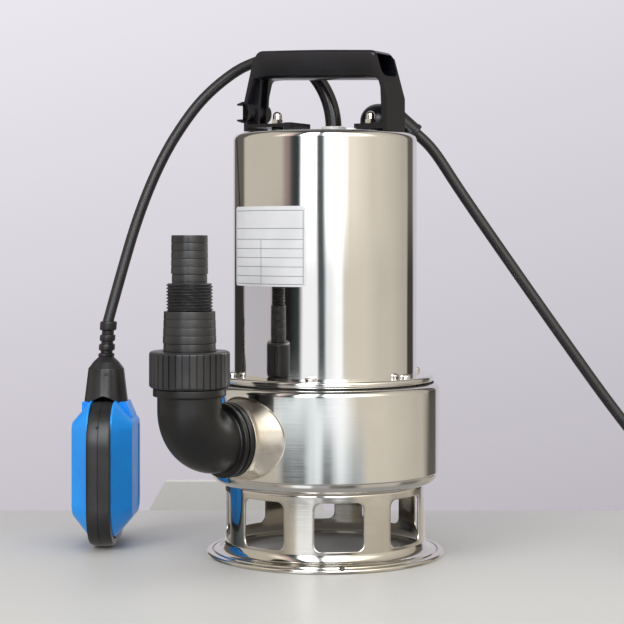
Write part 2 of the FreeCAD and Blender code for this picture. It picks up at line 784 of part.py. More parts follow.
def handle():
    """A handle with two feet, a hollow sloping grip, ribs in its legs and a cable clip on the left."""
    body = new_body("handle", HANDLE_ACROSS, HANDLE_BACK, CASING_TOP, "handle_turn")
    leg_inner = "(handle_reach - handle_wall)"
    tops = {}
    unders = {}
    inners = {}
    for side, slope in (("right", "-"), ("left", "+")):
        tops[side] = f"(grip_top - grip_arch {slope} grip_fall)"
        unders[side] = f"(grip_bottom {slope} grip_fall)"
        inners[side] = (f"({leg_inner} - (handle_reach - grip_reach) * ({unders[side]} - leg_upright)"
                        f" / ({tops[side]} - leg_upright))")
    block_end = "(left_foot_end + left_block_length)"
    left_top = "(left_rise + left_plate)"
    right_top = "(right_rise + right_plate)"
    arch = sketch_on(body, "XZ_Plane", "arch_profile")
    outline(arch, [
        ("right_foot_end", "right_rise"),
        (leg_inner, "right_rise"),
        (leg_inner, "right_heel"),
        ("handle_reach", "right_heel"),
        ("handle_reach", "leg_upright"),
        ("grip_reach", tops["right"], "grip_end_round"),
        ("0", "grip_top", "grip_arch_radius"),
        ("-grip_reach", tops["left"], "grip_end_round"),
        ("-handle_reach", "leg_upright"),
        ("-handle_reach", "left_heel"),
        (f"-{leg_inner}", "left_heel"),
        (f"-{leg_inner}", "left_rise"),
        (f"-{block_end}", "left_rise"),
        (f"-{block_end}", "left_block_bottom"),
        ("-left_foot_end", "left_block_bottom"),
        ("-left_foot_end", "left_block_top"),
        (f"-{block_end}", "left_block_top"),
        (f"-{block_end} - left_block_top + {left_top}", left_top),
        (f"-{leg_inner}", left_top),
        (f"-{leg_inner}", "leg_upright"),
        (f"-{inners['left']}", unders["left"], "grip_under_round"),
        (inners["right"], unders["right"], "grip_under_round"),
        (leg_inner, "leg_upright"),
        (leg_inner, right_top),
        ("right_foot_end", right_top),
    ])
    pad(body, arch, "arch", "handle_width", both_ways=True)
    for side, sign, top in (("right", "", right_top), ("left", "-", left_top)):
        rib = sketch_on(body, "XZ_Plane", side + "_rib_profile")
        outline(rib, [
            (f"{sign}({leg_inner} + handle_wall / 2)", f"{top} - seal"),
            (f"{sign}({leg_inner} + handle_wall / 2)", "leg_upright"),
            (f"{sign}({inners[side]} + handle_wall / 2)", f"{unders[side]} + grip_rim / 2"),
            (f"{sign}({inners[side]} - leg_rib_depth / 2)", f"{unders[side]} + grip_rim / 2"),
            (f"{sign}({leg_inner} - leg_rib_depth)", f"{top} - seal"),
        ])
        pad(body, rib, side + "_rib", "leg_rib", both_ways=True)
    clip = sketch_on(body, "XZ_Plane", "clip_profile")
    outer = "(clip_bore + clip_wall)"
    outline(clip, [
        ("-clip_reach", "clip_height - clip_bore - clip_lip"),
        ("-(clip_inner + clip_bore)", f"clip_height - {outer}"),
        ("-(clip_inner - clip_wall)", f"clip_height - {outer}", f"{outer} - gap"),
        ("-(clip_inner - clip_wall)", f"clip_height + {outer}", f"{outer} - gap"),
        ("-(clip_inner + clip_bore)", f"clip_height + {outer}"),
        ("-clip_reach", "clip_height + clip_bore + clip_lip"),
    ])
    pad(body, clip, "clip", "handle_width", both_ways=True)
    groove = sketch_on(body, "XZ_Plane", "clip_groove_profile")
    outline(groove, [
        ("-(clip_reach + clip_wall)", "clip_height - clip_bore"),
        ("-clip_inner", "clip_height - clip_bore", "clip_bore - gap"),
        ("-clip_inner", "clip_height + clip_bore", "clip_bore - gap"),
        ("-(clip_reach + clip_wall)", "clip_height + clip_bore"),
    ])
    pocket(body, groove, "clip_groove", "2 * handle_width", both_ways=True)
    hollow = sketch_on(body, "XZ_Plane", "grip_hollow_profile")
    outline(hollow, [
        ("-handle_reach", f"{unders['left']} + grip_rim"),
        ("handle_reach", f"{unders['right']} + grip_rim"),
        ("handle_reach", f"{tops['right']} - grip_rim"),
        ("-handle_reach", f"{tops['left']} - grip_rim"),
    ])
    pocket(body, hollow, "grip_hollow", "handle_width - 2 * grip_rim", both_ways=True)
    drill(body, "foot_holes", left_top, f"{left_top} - right_heel", [
        ("stud_reach", "0", "stud_radius + seat_gap"),
        ("-stud_reach", "0", "stud_radius + seat_gap"),
    ])


FEET = (("right", "", "right_rise", "right_plate"), ("left", "-", "left_rise", "left_plate"))


def handle_cap_nuts():
    """A hexagon nut with a closed dome on each stud."""
    body = new_body("handle_cap_nuts", HANDLE_ACROSS, HANDLE_BACK, CASING_TOP, "handle_turn")
    for side, sign, rise, plate in FEET:
        seat = f"({rise} + {plate})"
        centre = f"{sign}stud_reach"
        flats = sketch_on(body, "XY_Plane", side + "_nut_flats", seat)
        hexagon(flats, centre, "0", "nut_across")
        pad(body, flats, side + "_nut_hexagon", "nut_height")
        dome = sketch_on(body, "XZ_Plane", side + "_dome_profile")
        top = f"{seat} + nut_height + nut_dome_height"
        outline(dome, [
            (centre, seat),
            (f"{centre} + nut_dome_radius", seat),
            (f"{centre} + nut_dome_radius", top, "nut_dome_radius - seat_gap"),
            (centre, top),
        ])
        axis_line(dome, (centre, seat), (centre, top))
        revolve(body, dome, side + "_nut_dome", "Axis0")
        hole = sketch_on(body, "XY_Plane", side + "_nut_hole", seat)
        circles(hole, centre, "0", "stud_radius + seat_gap")
        pocket(body, hole, side + "_nut_hole_cut", "stud_in_nut + gap", reverse=True)


def handle_washers():
    """A rubber washer under the handle's right foot and a taller, narrower one under its left."""
    body = new_body("handle_washers", HANDLE_ACROSS, HANDLE_BACK, CASING_TOP, "handle_turn")
    for (side, sign, rise, _), radius in zip(FEET, ("washer_radius", "spacer_radius")):
        sketch = sketch_on(body, "XY_Plane", side + "_washer_ring")
        circles(sketch, f"{sign}stud_reach", "0", radius, "stud_radius + seat_gap")
        pad(body, sketch, side + "_washer", rise)


def tie_studs():
    """The studs that hold the handle and the casing down on the upper bracket."""
    body = new_body("tie_studs", HANDLE_ACROSS, HANDLE_BACK, turn="handle_turn")
    for side, sign, rise, plate in FEET:
        sketch = sketch_on(body, "XY_Plane", side + "_stud_circle", "stud_bottom")
        circles(sketch, f"{sign}stud_reach", "0", "stud_radius")
        pad(body, sketch, side + "_stud", f"{CASING_TOP} + {rise} + {plate} + stud_in_nut - stud_bottom")


def gland_collar():
    body = new_body("gland_collar", "gland_across", "gland_back", CASING_TOP)
    profile = sketch_on(body, "XZ_Plane", "gland_profile")
    outline(profile, [
        ("sleeve_radius + seat_gap", "0"),
        ("gland_radius", "0"),
        ("gland_radius", "gland_height", "seal"),
        ("sleeve_radius + seat_gap", "gland_height"),
    ])
    revolve(body, profile, "gland_ring")


def sleeve_path():
    """The bend protector's centre line, from inside the casing to its tip."""
    heading = math.radians(number("sleeve_heading_turn"))
    ahead = FreeCAD.Vector(math.cos(heading), math.sin(heading), 0)
    foot = point("gland_across", "gland_back", f"{CASING_TOP} - 2 * casing_sheet")
    spot = point("gland_across", "gland_back", f"{CASING_TOP} + sleeve_straight")
    edges = [Part.LineSegment(foot, spot).toShape()]
    turned = 0.0
    for radius_words, turn_words in (("sleeve_low_bend", "sleeve_low_turn"),
                                     ("sleeve_high_bend", "sleeve_high_turn")):
        radius = number(radius_words)
        steps = []
        for share in (0.5, 1.0):
            angle = turned + share * math.radians(number(turn_words))
            forward = radius * (math.cos(turned) - math.cos(angle))
            rise = radius * (math.sin(angle) - math.sin(turned))
            steps.append(spot + ahead * forward + UP * rise)
        edges.append(Part.Arc(spot, steps[0], steps[1]).toShape())
        spot = steps[1]
        turned = angle
    tip_direction = ahead * math.sin(turned) + UP * math.cos(turned)
    return Part.Wire(edges), foot, spot, tip_direction


def float_cable_sleeve():
    """A tapering bend protector that arches out of the casing."""
    path, foot, tip, tip_direction = sleeve_path()
    sections = [Part.Wire(Part.makeCircle(number("sleeve_radius"), foot, UP)),
                Part.Wire(Part.makeCircle(number("sleeve_tip_radius"), tip, tip_direction))]
    solid_feature("float_cable_sleeve", path.makePipeShell(sections, True, True))


def solid_feature(name, shape):
    """A sub-part whose shape is made from the sheet's sizes by Part's own functions."""
    item = DOC.addObject("Part::Feature", name)
    item.Label = name
    item.Shape = Part.Solid(shape) if shape.ShapeType == "Shell" else shape
    item.Placement = FreeCAD.Placement()
    return item


def cable_hood():
    """A dome on the casing with a slanted nozzle for the mains cable."""
    body = new_body("cable_hood", "hood_across", "hood_back", CASING_TOP, "nozzle_turn")
    dome = sketch_on(body, "XZ_Plane", "dome_profile")
    outline(dome, [
        ("0", "0"),
        ("hood_foot_radius", "0"),
        ("hood_foot_radius", "hood_foot", "seal"),
        ("hood_radius", "hood_foot"),
        ("hood_radius", "hood_height", "hood_round"),
        ("0", "hood_height"),
    ])
    revolve(body, dome, "dome")

    def along(distance, off):
        """A point off the nozzle's axis, at a distance from its root."""
        return (f"nozzle_root_reach + ({distance}) * cos(nozzle_fall) + ({off}) * sin(nozzle_fall)",
                f"nozzle_root_height - ({distance}) * sin(nozzle_fall) + ({off}) * cos(nozzle_fall)")

    nozzle = sketch_on(body, "XZ_Plane", "nozzle_profile")
    outline(nozzle, [
        along("-nozzle_root_radius", "0"),
        (*along("-nozzle_root_radius", "nozzle_root_radius"), "nozzle_root_radius - seat_gap"),
        along("nozzle_length - nozzle_rim", "nozzle_radius"),
        along("nozzle_length - nozzle_rim", "nozzle_rim_radius"),
        along("nozzle_length", "nozzle_rim_radius"),
        along("nozzle_length", "0"),
    ])
    axis_line(nozzle, along("0", "0"), along("nozzle_length", "0"))
    revolve(body, nozzle, "nozzle", "Axis0")


def elbow():
    """The discharge elbow: a swept bend with two ridges at the neck and a ring under the nut."""
    body = new_body("elbow", turn="neck_turn")
    spine = sketch_on(body, "YZ_Plane", "elbow_spine")
    outline(spine, [
        (f"-{ELBOW_FACE}", "neck_height"),
        ("-fitting_reach", "neck_height", "elbow_bend"),
        ("-fitting_reach", "spigot_top"),
    ], closed=False)
    outside = sketch_on(body, "XZ_Plane", "elbow_outside", ELBOW_FACE)
    circles(outside, "0", "neck_height", "elbow_radius")
    sweep(body, "AdditivePipe", "elbow_pipe", outside, spine)
    ridge_step = "(collar_ridge + collar_groove)"
    for name, ahead, radius, length in (
            ("back_ridge", ELBOW_FACE, "collar_radius", "collar_ridge"),
            ("collar_core", ELBOW_FACE, "collar_radius - collar_groove_depth", ridge_step),
            ("front_ridge", f"{ELBOW_FACE} + {ridge_step}", "collar_radius", "collar_ridge")):
        ridge = sketch_on(body, "XZ_Plane", name + "_circle", ahead)
        circles(ridge, "0", "neck_height", radius)
        pad(body, ridge, name, length)
    ring = sketch_on(body, "XY_Plane", "elbow_ring_circle", "elbow_ring_bottom")
    circles(ring, "0", "-fitting_reach", "elbow_ring_radius")
    pad(body, ring, "elbow_ring", "elbow_ring_height")
    inside = sketch_on(body, "XZ_Plane", "elbow_inside", ELBOW_FACE)
    circles(inside, "0", "neck_height", "elbow_bore")
    DOC.recompute()
    before = body.Shape.Volume
    sweep(body, "SubtractivePipe", "elbow_bore", inside, spine)
    check_cut(body, "elbow_bore", before)


def sweep(body, kind, name, profile, spine):
    made = feature(body, kind, name, profile)
    made.Spine = (spine, [f"Edge{index + 1}" for index in range(3)])
    made.Transition = "Transformed"
    return made


def elbow_gasket():
    body = new_body("elbow_gasket", turn="neck_turn")
    sketch = sketch_on(body, "XZ_Plane", "elbow_gasket_ring", "neck_face")
    circles(sketch, "0", "neck_height", "neck_radius", "neck_radius - body_sheet")
    pad(body, sketch, "elbow_gasket_pad", "seal")


def union_nut():
    """A nut with fine upright ribs, open below for the elbow and lipped over the hose tail."""
    body = new_body("union_nut", FITTING_ACROSS, FITTING_BACK, turn="neck_turn")
    profile = sketch_on(body, "XZ_Plane", "union_profile")
    bottom = f"({ELBOW_TOP} + gap)"
    core = "(nut_outer_radius - nut_rib_depth)"
    bore = "elbow_radius + gap"
    lip = "nut_top - nut_lip"
    outline(profile, [
        (bore, bottom),
        (f"{core} - nut_edge", bottom),
        (core, f"{bottom} + nut_edge"),
        (core, "nut_top - nut_edge"),
        (f"{core} - nut_edge", "nut_top"),
        ("low_barb_radius + gap", "nut_top"),
        ("low_barb_radius + gap", lip),
        (bore, lip),
    ])
    revolve(body, profile, "union_ring")
    rib = sketch_on(body, "XY_Plane", "union_rib_profile", f"{bottom} + nut_edge")
    box_outline(rib, f"{core} - nut_rib_depth", "nut_outer_radius", "-nut_rib_width / 2", "nut_rib_width / 2")
    ribbed = pad(body, rib, "union_rib", f"nut_top - {bottom} - 2 * nut_edge")
    pattern(body, [ribbed], "union_ribs", "nut_rib_count")


def barbs(bottom, top, radius, count, taper):
    """Corners of a stack of hose barbs from the bottom up, each with a straight land and a taper."""
    corners = []
    steps = int(number(count))
    for step in range(steps):
        widest = f"{radius} - {step} * {taper}"
        corners.append((widest, f"{bottom} + {step} * ({top} - {bottom}) / {steps}"))
        corners.append((widest, f"{bottom} + {step} * ({top} - {bottom}) / {steps} + barb_land"))
        corners.append((f"{widest} - barb_depth", f"{bottom} + {step + 1} * ({top} - {bottom}) / {steps}"))
    return corners


def hose_tail():
    """A stepped tail: a wide barb, an outside thread and a narrow barb, over a clamped flange."""
    body = new_body("hose_tail", FITTING_ACROSS, FITTING_BACK)
    profile = sketch_on(body, "XZ_Plane", "tail_profile")
    outline(profile, [
        ("tail_low_bore", TAIL_BOTTOM),
        ("tail_flange_radius", TAIL_BOTTOM),
        ("tail_flange_radius", f"{TAIL_BOTTOM} + tail_flange"),
        ("tail_neck_radius", f"{TAIL_BOTTOM} + tail_flange"),
        ("tail_neck_radius", "nut_top"),
        *barbs("nut_top", "low_barb_top", "low_barb_radius", "low_barb_count", "barb_taper"),
        ("thread_radius", "low_barb_top"),
        ("thread_radius", "thread_top - thread_chamfer"),
        ("thread_radius - thread_chamfer", "thread_top"),
        ("high_barb_radius - barb_depth", "thread_top"),
        ("high_barb_radius - barb_depth", "high_barb_bottom"),
        *barbs("high_barb_bottom", "high_barb_top", "high_barb_radius", "high_barb_count",
               "high_barb_taper"),
        ("tail_bore", "high_barb_top"),
        ("tail_bore", "low_barb_top"),
        ("tail_low_bore", "low_barb_top - (tail_low_bore - tail_bore)"),
    ])
    revolve(body, profile, "tail")


def hose_tail_gasket():
    round_plate("hose_tail_gasket", "elbow_bore", "tail_flange_radius", "spigot_top", "seal",
                across=FITTING_ACROSS, back=FITTING_BACK)


def float_body(name):
    """A body in the float's own frame, whose origin is the pivot above the float."""
    return new_body(name, "pivot_across", "pivot_back", "pivot_height", "float_turn")


def float_side(sketch, inset):
    """The float's side outline, drawn in by an inset."""
    half = f"float_width / 2 - ({inset})"
    low_round = f"float_low_round - ({inset})"
    high_round = f"float_high_round - ({inset})"
    outline(sketch, [
        (f"-({half})", f"{FLOAT_BOTTOM} + {inset}", low_round),
        (half, f"{FLOAT_BOTTOM} + {inset}", low_round),
        (half, f"-float_drop - ({inset})", high_round),
        (f"-({half})", f"-float_drop - ({inset})", high_round),
    ])


def bevel(body, name, kind, sign, wall="0"):
    """A shell's bevelled form outwards from the band, drawn in by a wall."""
    base = sketch_on(body, "YZ_Plane", name + "_base", f"{sign}(band_width / 2)")
    float_side(base, wall)
    face = sketch_on(body, "YZ_Plane", name + "_face", f"{sign}(band_width / 2 + bevel_width - {wall})")
    float_side(face, f"bevel_depth + {wall}")
    loft = feature(body, kind, name, base)
    loft.Sections = [face]
    loft.Ruled = True
    return loft


def float_band():
    body = float_body("float_band")
    rim = sketch_on(body, "YZ_Plane", "band_outside")
    float_side(rim, "0")
    pad(body, rim, "band", "band_width", both_ways=True)
    hollow = sketch_on(body, "YZ_Plane", "band_inside")
    float_side(hollow, "band_wall")
    pocket(body, hollow, "band_hollow", "2 * band_width", both_ways=True)


def float_shell(name, sign):
    body = float_body(name)
    bevel(body, name + "_outside", "AdditiveLoft", sign)
    DOC.recompute()
    before = body.Shape.Volume
    bevel(body, name + "_inside", "SubtractiveLoft", sign, "shell_wall")
    check_cut(body, name, before)


def float_boot():
    """The rubber boot: a ball end, a ribbed bend relief and a cone saddled on the float's top."""
    body = float_body("float_boot")
    profile = sketch_on(body, "XZ_Plane", "boot_profile")
    collars = []
    for index in reversed(range(int(number("boot_collar_count")))):
        top = f"-{index} * boot_collar_pitch"
        collars.append(("boot_core", f"{top} - boot_collar_pitch"))
        collars.append(("boot_core", f"{top} - boot_collar_height"))
        collars.append(("boot_collar", f"{top} - boot_collar_height"))
        collars.append(("boot_collar", top))
    outline(profile, [
        ("0", "-boot_bottom"),
        ("boot_bottom_radius", "-boot_bottom"),
        ("boot_skirt_radius", "-boot_skirt"),
        ("boot_shoulder_radius", "-boot_shoulder"),
        ("boot_cone_radius", "-boot_neck"),
        ("boot_core", "-boot_neck"),
        *collars[1:],
        ("boot_ball", "0"),
        ("boot_ball", "boot_ball", "boot_ball - seat_gap"),
        ("0", "boot_ball"),
    ])
    revolve(body, profile, "boot")
    eye = sketch_on(body, "YZ_Plane", "boot_eye_circle")
    circles(eye, "0", "0", "boot_ball")
    pad(body, eye, "boot_eye", "boot_eye_width", both_ways=True)
    saddle = sketch_on(body, "YZ_Plane", "boot_saddle")
    float_side(saddle, "0")
    pocket(body, saddle, "band_seat", "band_width", both_ways=True)
    for side, sign in (("left", "-"), ("right", "")):
        bevel(body, f"boot_{side}_seat", "SubtractiveLoft", sign)


def float_ball():
    body = float_body("float_ball")
    ball = body.newObject("PartDesign::AdditiveSphere", "ball")
    ball.setExpression("Radius", cell("ball_radius"))
    ball.AttachmentSupport = [(origin_part(body, "XY_Plane"), "")]
    ball.MapMode = "FlatFace"
    ball.setExpression("AttachmentOffset.Base.z", cell("-(track_bottom - track_wall - ball_radius - gap)"))
    body.Tip = ball


def float_ball_track():
    """A tube for the ball, closed below and held to the band by a web."""
    body = float_body("float_ball_track")
    outer = "(ball_radius + gap + track_wall)"
    tube = sketch_on(body, "XY_Plane", "track_circle", "-track_bottom")
    circles(tube, "0", "0", outer)
    pad(body, tube, "track", "track_bottom - track_top")
    web = sketch_on(body, "YZ_Plane", "track_web_profile")
    box_outline(web, "-(float_width / 2 - band_wall)", "float_width / 2 - band_wall",
                "-(track_bottom - track_wall) + float_width / 4", "-track_top - float_width / 4")
    pad(body, web, "track_web", "track_web", both_ways=True)
    bore = sketch_on(body, "XY_Plane", "track_bore_circle", "-track_top")
    circles(bore, "0", "0", "ball_radius + gap")
    pocket(body, bore, "track_bore", "track_bottom - track_top - track_wall")


def float_micro_switch():
    """The switch at the top of the track, with a plunger that the ball presses."""
    body = float_body("float_micro_switch")
    case = sketch_on(body, "XY_Plane", "switch_case_outline", "-track_top")
    box_outline(case, "-switch_depth / 2", "switch_depth / 2", "-switch_width / 2", "switch_width / 2")
    pad(body, case, "switch_case", "switch_height")
    plunger = sketch_on(body, "XY_Plane", "plunger_circle", "-track_top")
    circles(plunger, "0", "0", "plunger_radius")
    pad(body, plunger, "plunger", "plunger_length", reverse=True)


def impeller():
    """An open impeller: a shroud on a hub, with curved vanes below it."""
    body = new_body("impeller")
    profile = sketch_on(body, "XZ_Plane", "shroud_profile")
    bore = "shaft_low_radius + impeller_bore_gap"
    outline(profile, [
        (bore, "hub_bottom"),
        ("hub_radius", "hub_bottom"),
        ("hub_radius", "impeller_top - shroud"),
        ("impeller_radius", "impeller_top - shroud"),
        ("impeller_radius", "impeller_top"),
        (bore, "impeller_top"),
    ])
    revolve(body, profile, "shroud_and_hub")
    vane = sketch_on(body, "XY_Plane", "vane_profile", "impeller_top - shroud")
    half = "vane_thickness / 2"
    mitre = f"({half}) * tan(vane_turn / 2)"
    end_across = "vane_knee + vane_reach * cos(vane_turn)"
    end_back = "vane_reach * sin(vane_turn)"
    outline(vane, [
        ("vane_root", f"-({half})"),
        (f"vane_knee + {mitre}", f"-({half})", f"vane_bend + {half}"),
        (f"{end_across} + {half} * sin(vane_turn)", f"{end_back} - {half} * cos(vane_turn)"),
        (f"{end_across} - {half} * sin(vane_turn)", f"{end_back} + {half} * cos(vane_turn)"),
        (f"vane_knee - {mitre}", half, f"vane_bend - {half}"),
        ("vane_root", half),
    ])
    bladed = pad(body, vane, "vane", "vane_height", reverse=True)
    pattern(body, [bladed], "vanes", "vane_count")


def impeller_nut():
    body = new_body("impeller_nut")
    sketch = sketch_on(body, "XY_Plane", "lock_nut_outline", "hub_bottom - lock_nut_height")
    hexagon(sketch, "0", "0", "lock_nut_across")
    circles(sketch, "0", "0", "shaft_thread_radius + seat_gap")
    pad(body, sketch, "lock_nut", "lock_nut_height")


def oil_chamber():
    """The cup of oil between the impeller and the motor, hung under the cover."""
    body = new_body("oil_chamber")
    profile = sketch_on(body, "XZ_Plane", "oil_profile")
    outline(profile, [
        ("seat_radius + seat_gap", "oil_bottom"),
        ("oil_radius", "oil_bottom", "oil_round"),
        ("oil_radius", f"{COVER_BOTTOM} - oil_flange"),
        ("oil_flange_radius", f"{COVER_BOTTOM} - oil_flange"),
        ("oil_flange_radius", COVER_BOTTOM),
        ("oil_radius - oil_wall", COVER_BOTTOM),
        ("oil_radius - oil_wall", "oil_bottom + oil_wall"),
        ("seat_radius + seat_gap", "oil_bottom + oil_wall"),
    ])
    revolve(body, profile, "oil_cup")


def seal_seat():
    round_plate("seal_seat", "shaft_seal_radius + gap", "seat_radius", "oil_bottom", "seat_height")


def seal_head():
    """The turning half of the shaft seal, with a waist for its spring."""
    body = new_body("seal_head", height="oil_bottom + seat_height + seat_gap")
    profile = sketch_on(body, "XZ_Plane", "seal_head_profile")
    bore = "shaft_seal_radius + seat_gap"
    outline(profile, [
        (bore, "0"),
        ("seal_head_radius", "0"),
        ("seal_head_radius", "seal_collar"),
        ("seal_head_radius - seal_waist", "seal_collar"),
        ("seal_head_radius - seal_waist", "seal_head_height - seal_collar"),
        ("seal_head_radius", "seal_head_height - seal_collar"),
        ("seal_head_radius", "seal_head_height"),
        (bore, "seal_head_height"),
    ])
    revolve(body, profile, "seal_head_ring")


def lip_seal():
    round_plate("lip_seal", "shaft_seal_radius + gap", "lip_bore", f"{COVER_TOP} + lip_seal_lift",
                "lip_seal_height")


def lower_bracket():
    """The motor's lower end plate, with seats for the lip seal, the bearing and the casing's ring."""
    body = new_body("lower_bracket", height=COVER_TOP)
    profile = sketch_on(body, "XZ_Plane", "lower_bracket_profile")
    ring_groove = "casing_radius - casing_sheet - 2 * ring_wire - 2 * seat_gap"
    outline(profile, [
        ("lip_bore + seat_gap", "0"),
        (ring_groove, "0"),
        (ring_groove, "bracket_plate - bracket_rim"),
        ("casing_radius - casing_sheet - seat_gap", "bracket_plate - bracket_rim"),
        ("casing_radius - casing_sheet - seat_gap", "bracket_plate"),
        ("bracket_hub_radius", "bracket_plate"),
        ("bracket_hub_radius", "bracket_hub_height"),
        ("low_bearing_radius + seat_gap", "bracket_hub_height"),
        ("low_bearing_radius + seat_gap", "bearing_lift"),
        ("lip_bore + seat_gap", "bearing_lift"),
    ])
    revolve(body, profile, "lower_plate")
    hole = sketch_on(body, "XY_Plane", "plate_hole", "bracket_plate")
    circles(hole, "0", "-bracket_screw_circle", "screw_radius + seat_gap")
    drilled = pocket(body, hole, "plate_hole_cut", "bracket_plate")
    pattern(body, [drilled], "plate_holes", "bracket_screw_count")


def bearing_outer(name, bottom, radius, race, inner, thickness):
    """A bearing's outer ring with a shield at each side."""
    body = new_body(name, height=bottom)
    profile = sketch_on(body, "XZ_Plane", name + "_profile")
    shield_edge = f"{inner} + shield_gap"
    outline(profile, [
        (shield_edge, "0"),
        (radius, "0"),
        (radius, thickness),
        (shield_edge, thickness),
        (shield_edge, f"{thickness} - shield"),
        (race, f"{thickness} - shield"),
        (race, "shield"),
        (shield_edge, "shield"),
    ])
    revolve(body, profile, name + "_ring")


def motor_frame():
    round_plate("motor_frame", "frame_radius - frame_wall", "frame_radius", f"{COVER_TOP} + bracket_plate",
                f"motor_top - {COVER_TOP} - bracket_plate")


def upper_bracket():
    """The motor's upper end plate, with the bearing's housing below it."""
    body = new_body("upper_bracket")
    profile = sketch_on(body, "XZ_Plane", "upper_bracket_profile")
    outline(profile, [
        ("0", f"motor_top + top_bracket - top_hub_floor"),
        ("high_bearing_radius + seat_gap", f"motor_top + top_bracket - top_hub_floor"),
        ("high_bearing_radius + seat_gap", f"{TOP_BEARING}"),
        ("top_hub_radius", f"{TOP_BEARING}"),
        ("top_hub_radius", "motor_top"),
        ("frame_radius", "motor_top"),
        ("frame_radius", "motor_top + top_bracket"),
        ("0", "motor_top + top_bracket"),
    ])
    revolve(body, profile, "upper_plate")
    drill(body, "stud_holes", "motor_top + top_bracket", "top_bracket", [
        (*RIGHT_STUD, "stud_radius + seat_gap"),
        (*LEFT_STUD, "stud_radius + seat_gap"),
    ])


def stator_core():
    """The slotted iron ring pressed into the motor's frame."""
    body = new_body("stator_core")
    ring = sketch_on(body, "XY_Plane", "stator_ring", "core_bottom")
    circles(ring, "0", "0", "frame_radius - frame_wall - seat_gap", "rotor_radius + air_gap")
    pad(body, ring, "stator", "core_height")
    slot = sketch_on(body, "XY_Plane", "slot_outline", CORE_TOP)
    box_outline(slot, "rotor_radius - air_gap", "rotor_radius + air_gap + slot_depth",
                "-slot_width / 2", "slot_width / 2")
    slotted = pocket(body, slot, "slot", "core_height")
    pattern(body, [slotted], "slots", "slot_count")


def stator_windings():
    """The end turns of the windings, a rounded ring at each end of the core."""
    body = new_body("stator_windings")
    for name, level in (("low_turns", "core_bottom - winding_height"), ("high_turns", CORE_TOP)):
        section = sketch_on(body, "XZ_Plane", name)
        box_outline(section, "winding_inner", "winding_outer", level, f"{level} + winding_height",
                    "winding_round")
        revolve(body, section, name + "_ring")


def rotor_core():
    round_plate("rotor_core", "shaft_core_radius + seat_gap", "rotor_radius", "core_bottom", "core_height")


def rotor_shaft():
    """The stepped shaft, from its thread under the impeller to its seat in the upper bearing."""
    body = new_body("rotor_shaft")
    profile = sketch_on(body, "XZ_Plane", "shaft_profile")
    low_bearing_top = f"{LOW_BEARING} + low_bearing_height"
    top = f"motor_top + top_bracket - top_hub_floor - shaft_top_gap"
    outline(profile, [
        ("0", "shaft_bottom"),
        ("shaft_thread_radius", "shaft_bottom"),
        ("shaft_thread_radius", "hub_bottom"),
        ("shaft_low_radius", "hub_bottom"),
        ("shaft_low_radius", "impeller_top"),
        ("shaft_seal_radius", "impeller_top"),
        ("shaft_seal_radius", LOW_BEARING),
        ("shaft_bearing_radius", LOW_BEARING),
        ("shaft_bearing_radius", low_bearing_top),
        ("shaft_core_radius", low_bearing_top),
        ("shaft_core_radius", TOP_BEARING),
        ("shaft_top_radius", TOP_BEARING),
        ("shaft_top_radius", top),
        ("0", top),
    ])
    revolve(body, profile, "shaft")


def run_capacitor():
    """The capacitor, lying on the upper bracket."""
    body = new_body("run_capacitor", height="motor_top + top_bracket + capacitor_radius + seat_gap")
    profile = sketch_on(body, "YZ_Plane", "capacitor_profile")
    box_outline(profile, "-capacitor_length / 2", "capacitor_length / 2", "0", "capacitor_radius")
    revolve(body, profile, "capacitor_can", "H_Axis")


def terminal_block():
    body = new_body("terminal_block", "terminal_across", "terminal_back", "motor_top + top_bracket")
    sketch = sketch_on(body, "XY_Plane", "terminal_outline")
    box_outline(sketch, "-terminal_length / 2", "terminal_length / 2",
                "-terminal_width / 2", "terminal_width / 2", "seal")
    pad(body, sketch, "terminal", "terminal_height")


FLOAT_CABLE_POINTS = [
    (-57.5, 52.9, 379.9), (-71.3, 57.0, 373.8), (-92.0, 59.5, 357.7), (-108.4, 58.8, 338.8),
    (-128.7, 55.2, 306.4), (-147.3, 49.3, 261.1), (-161.9, 42.2, 208.9), (-170.15, 37.0, 176.45),
]
MAINS_CABLE_POINTS = [
    (78.5, 25.0, 316.2), (88.1, 26.0, 305.0), (104.6, 27.0, 279.1), (139.0, 28.3, 229.4),
    (184.0, 29.2, 165.4), (221.6, 29.8, 112.6), (254.0, 30.3, 71.3), (287.0, 30.8, 45.4),
    (323.0, 31.0, 33.7),
]
PLUG_LEAD_POINTS = [
    (391.0, 35.2, 6.0), (415.0, 33.5, 8.6), (441.0, 30.2, 13.6), (464.0, 25.5, 18.5),
    (482.0, 20.6, 18.5),
]


def cable_tube(name, points):
    """A cable along straight runs joined by arcs, each as large as its two runs allow."""
    radius = number("cable_radius")
    radii = []
    edges = []
    start = points[0]
    for before, corner, after in zip(points, points[1:], points[2:]):
        back = (before - corner).normalize()
        ahead = (after - corner).normalize()
        half = (math.pi - back.getAngle(ahead)) / 2
        reach = CORNER_SHARE * min((before - corner).Length, (after - corner).Length)
        bend = reach / math.tan(half)
        radii.append(bend)
        middle = corner + (back + ahead).normalize() * (bend / math.cos(half) - bend)
        edges.append(Part.LineSegment(start, corner + back * reach).toShape())
        edges.append(Part.Arc(corner + back * reach, middle, corner + ahead * reach).toShape())
        start = corner + ahead * reach
    edges.append(Part.LineSegment(start, points[-1]).toShape())
    path = Part.Wire(edges)
    section = Part.Wire(Part.makeCircle(radius, points[0], points[1] - points[0]))
    item = solid_feature(name, path.makePipeShell([section], True, False))
    expected = math.pi * radius ** 2 * path.Length
    print(name, "length", round(path.Length, 1), "least radius", round(min(radii), 1),
          "volume over section times length", round(item.Shape.Volume / expected, 4))
    return item


def float_cable():
    tip = sleeve_path()[2]
    cable_tube("float_cable", [tip] + [FreeCAD.Vector(*spot) for spot in FLOAT_CABLE_POINTS])


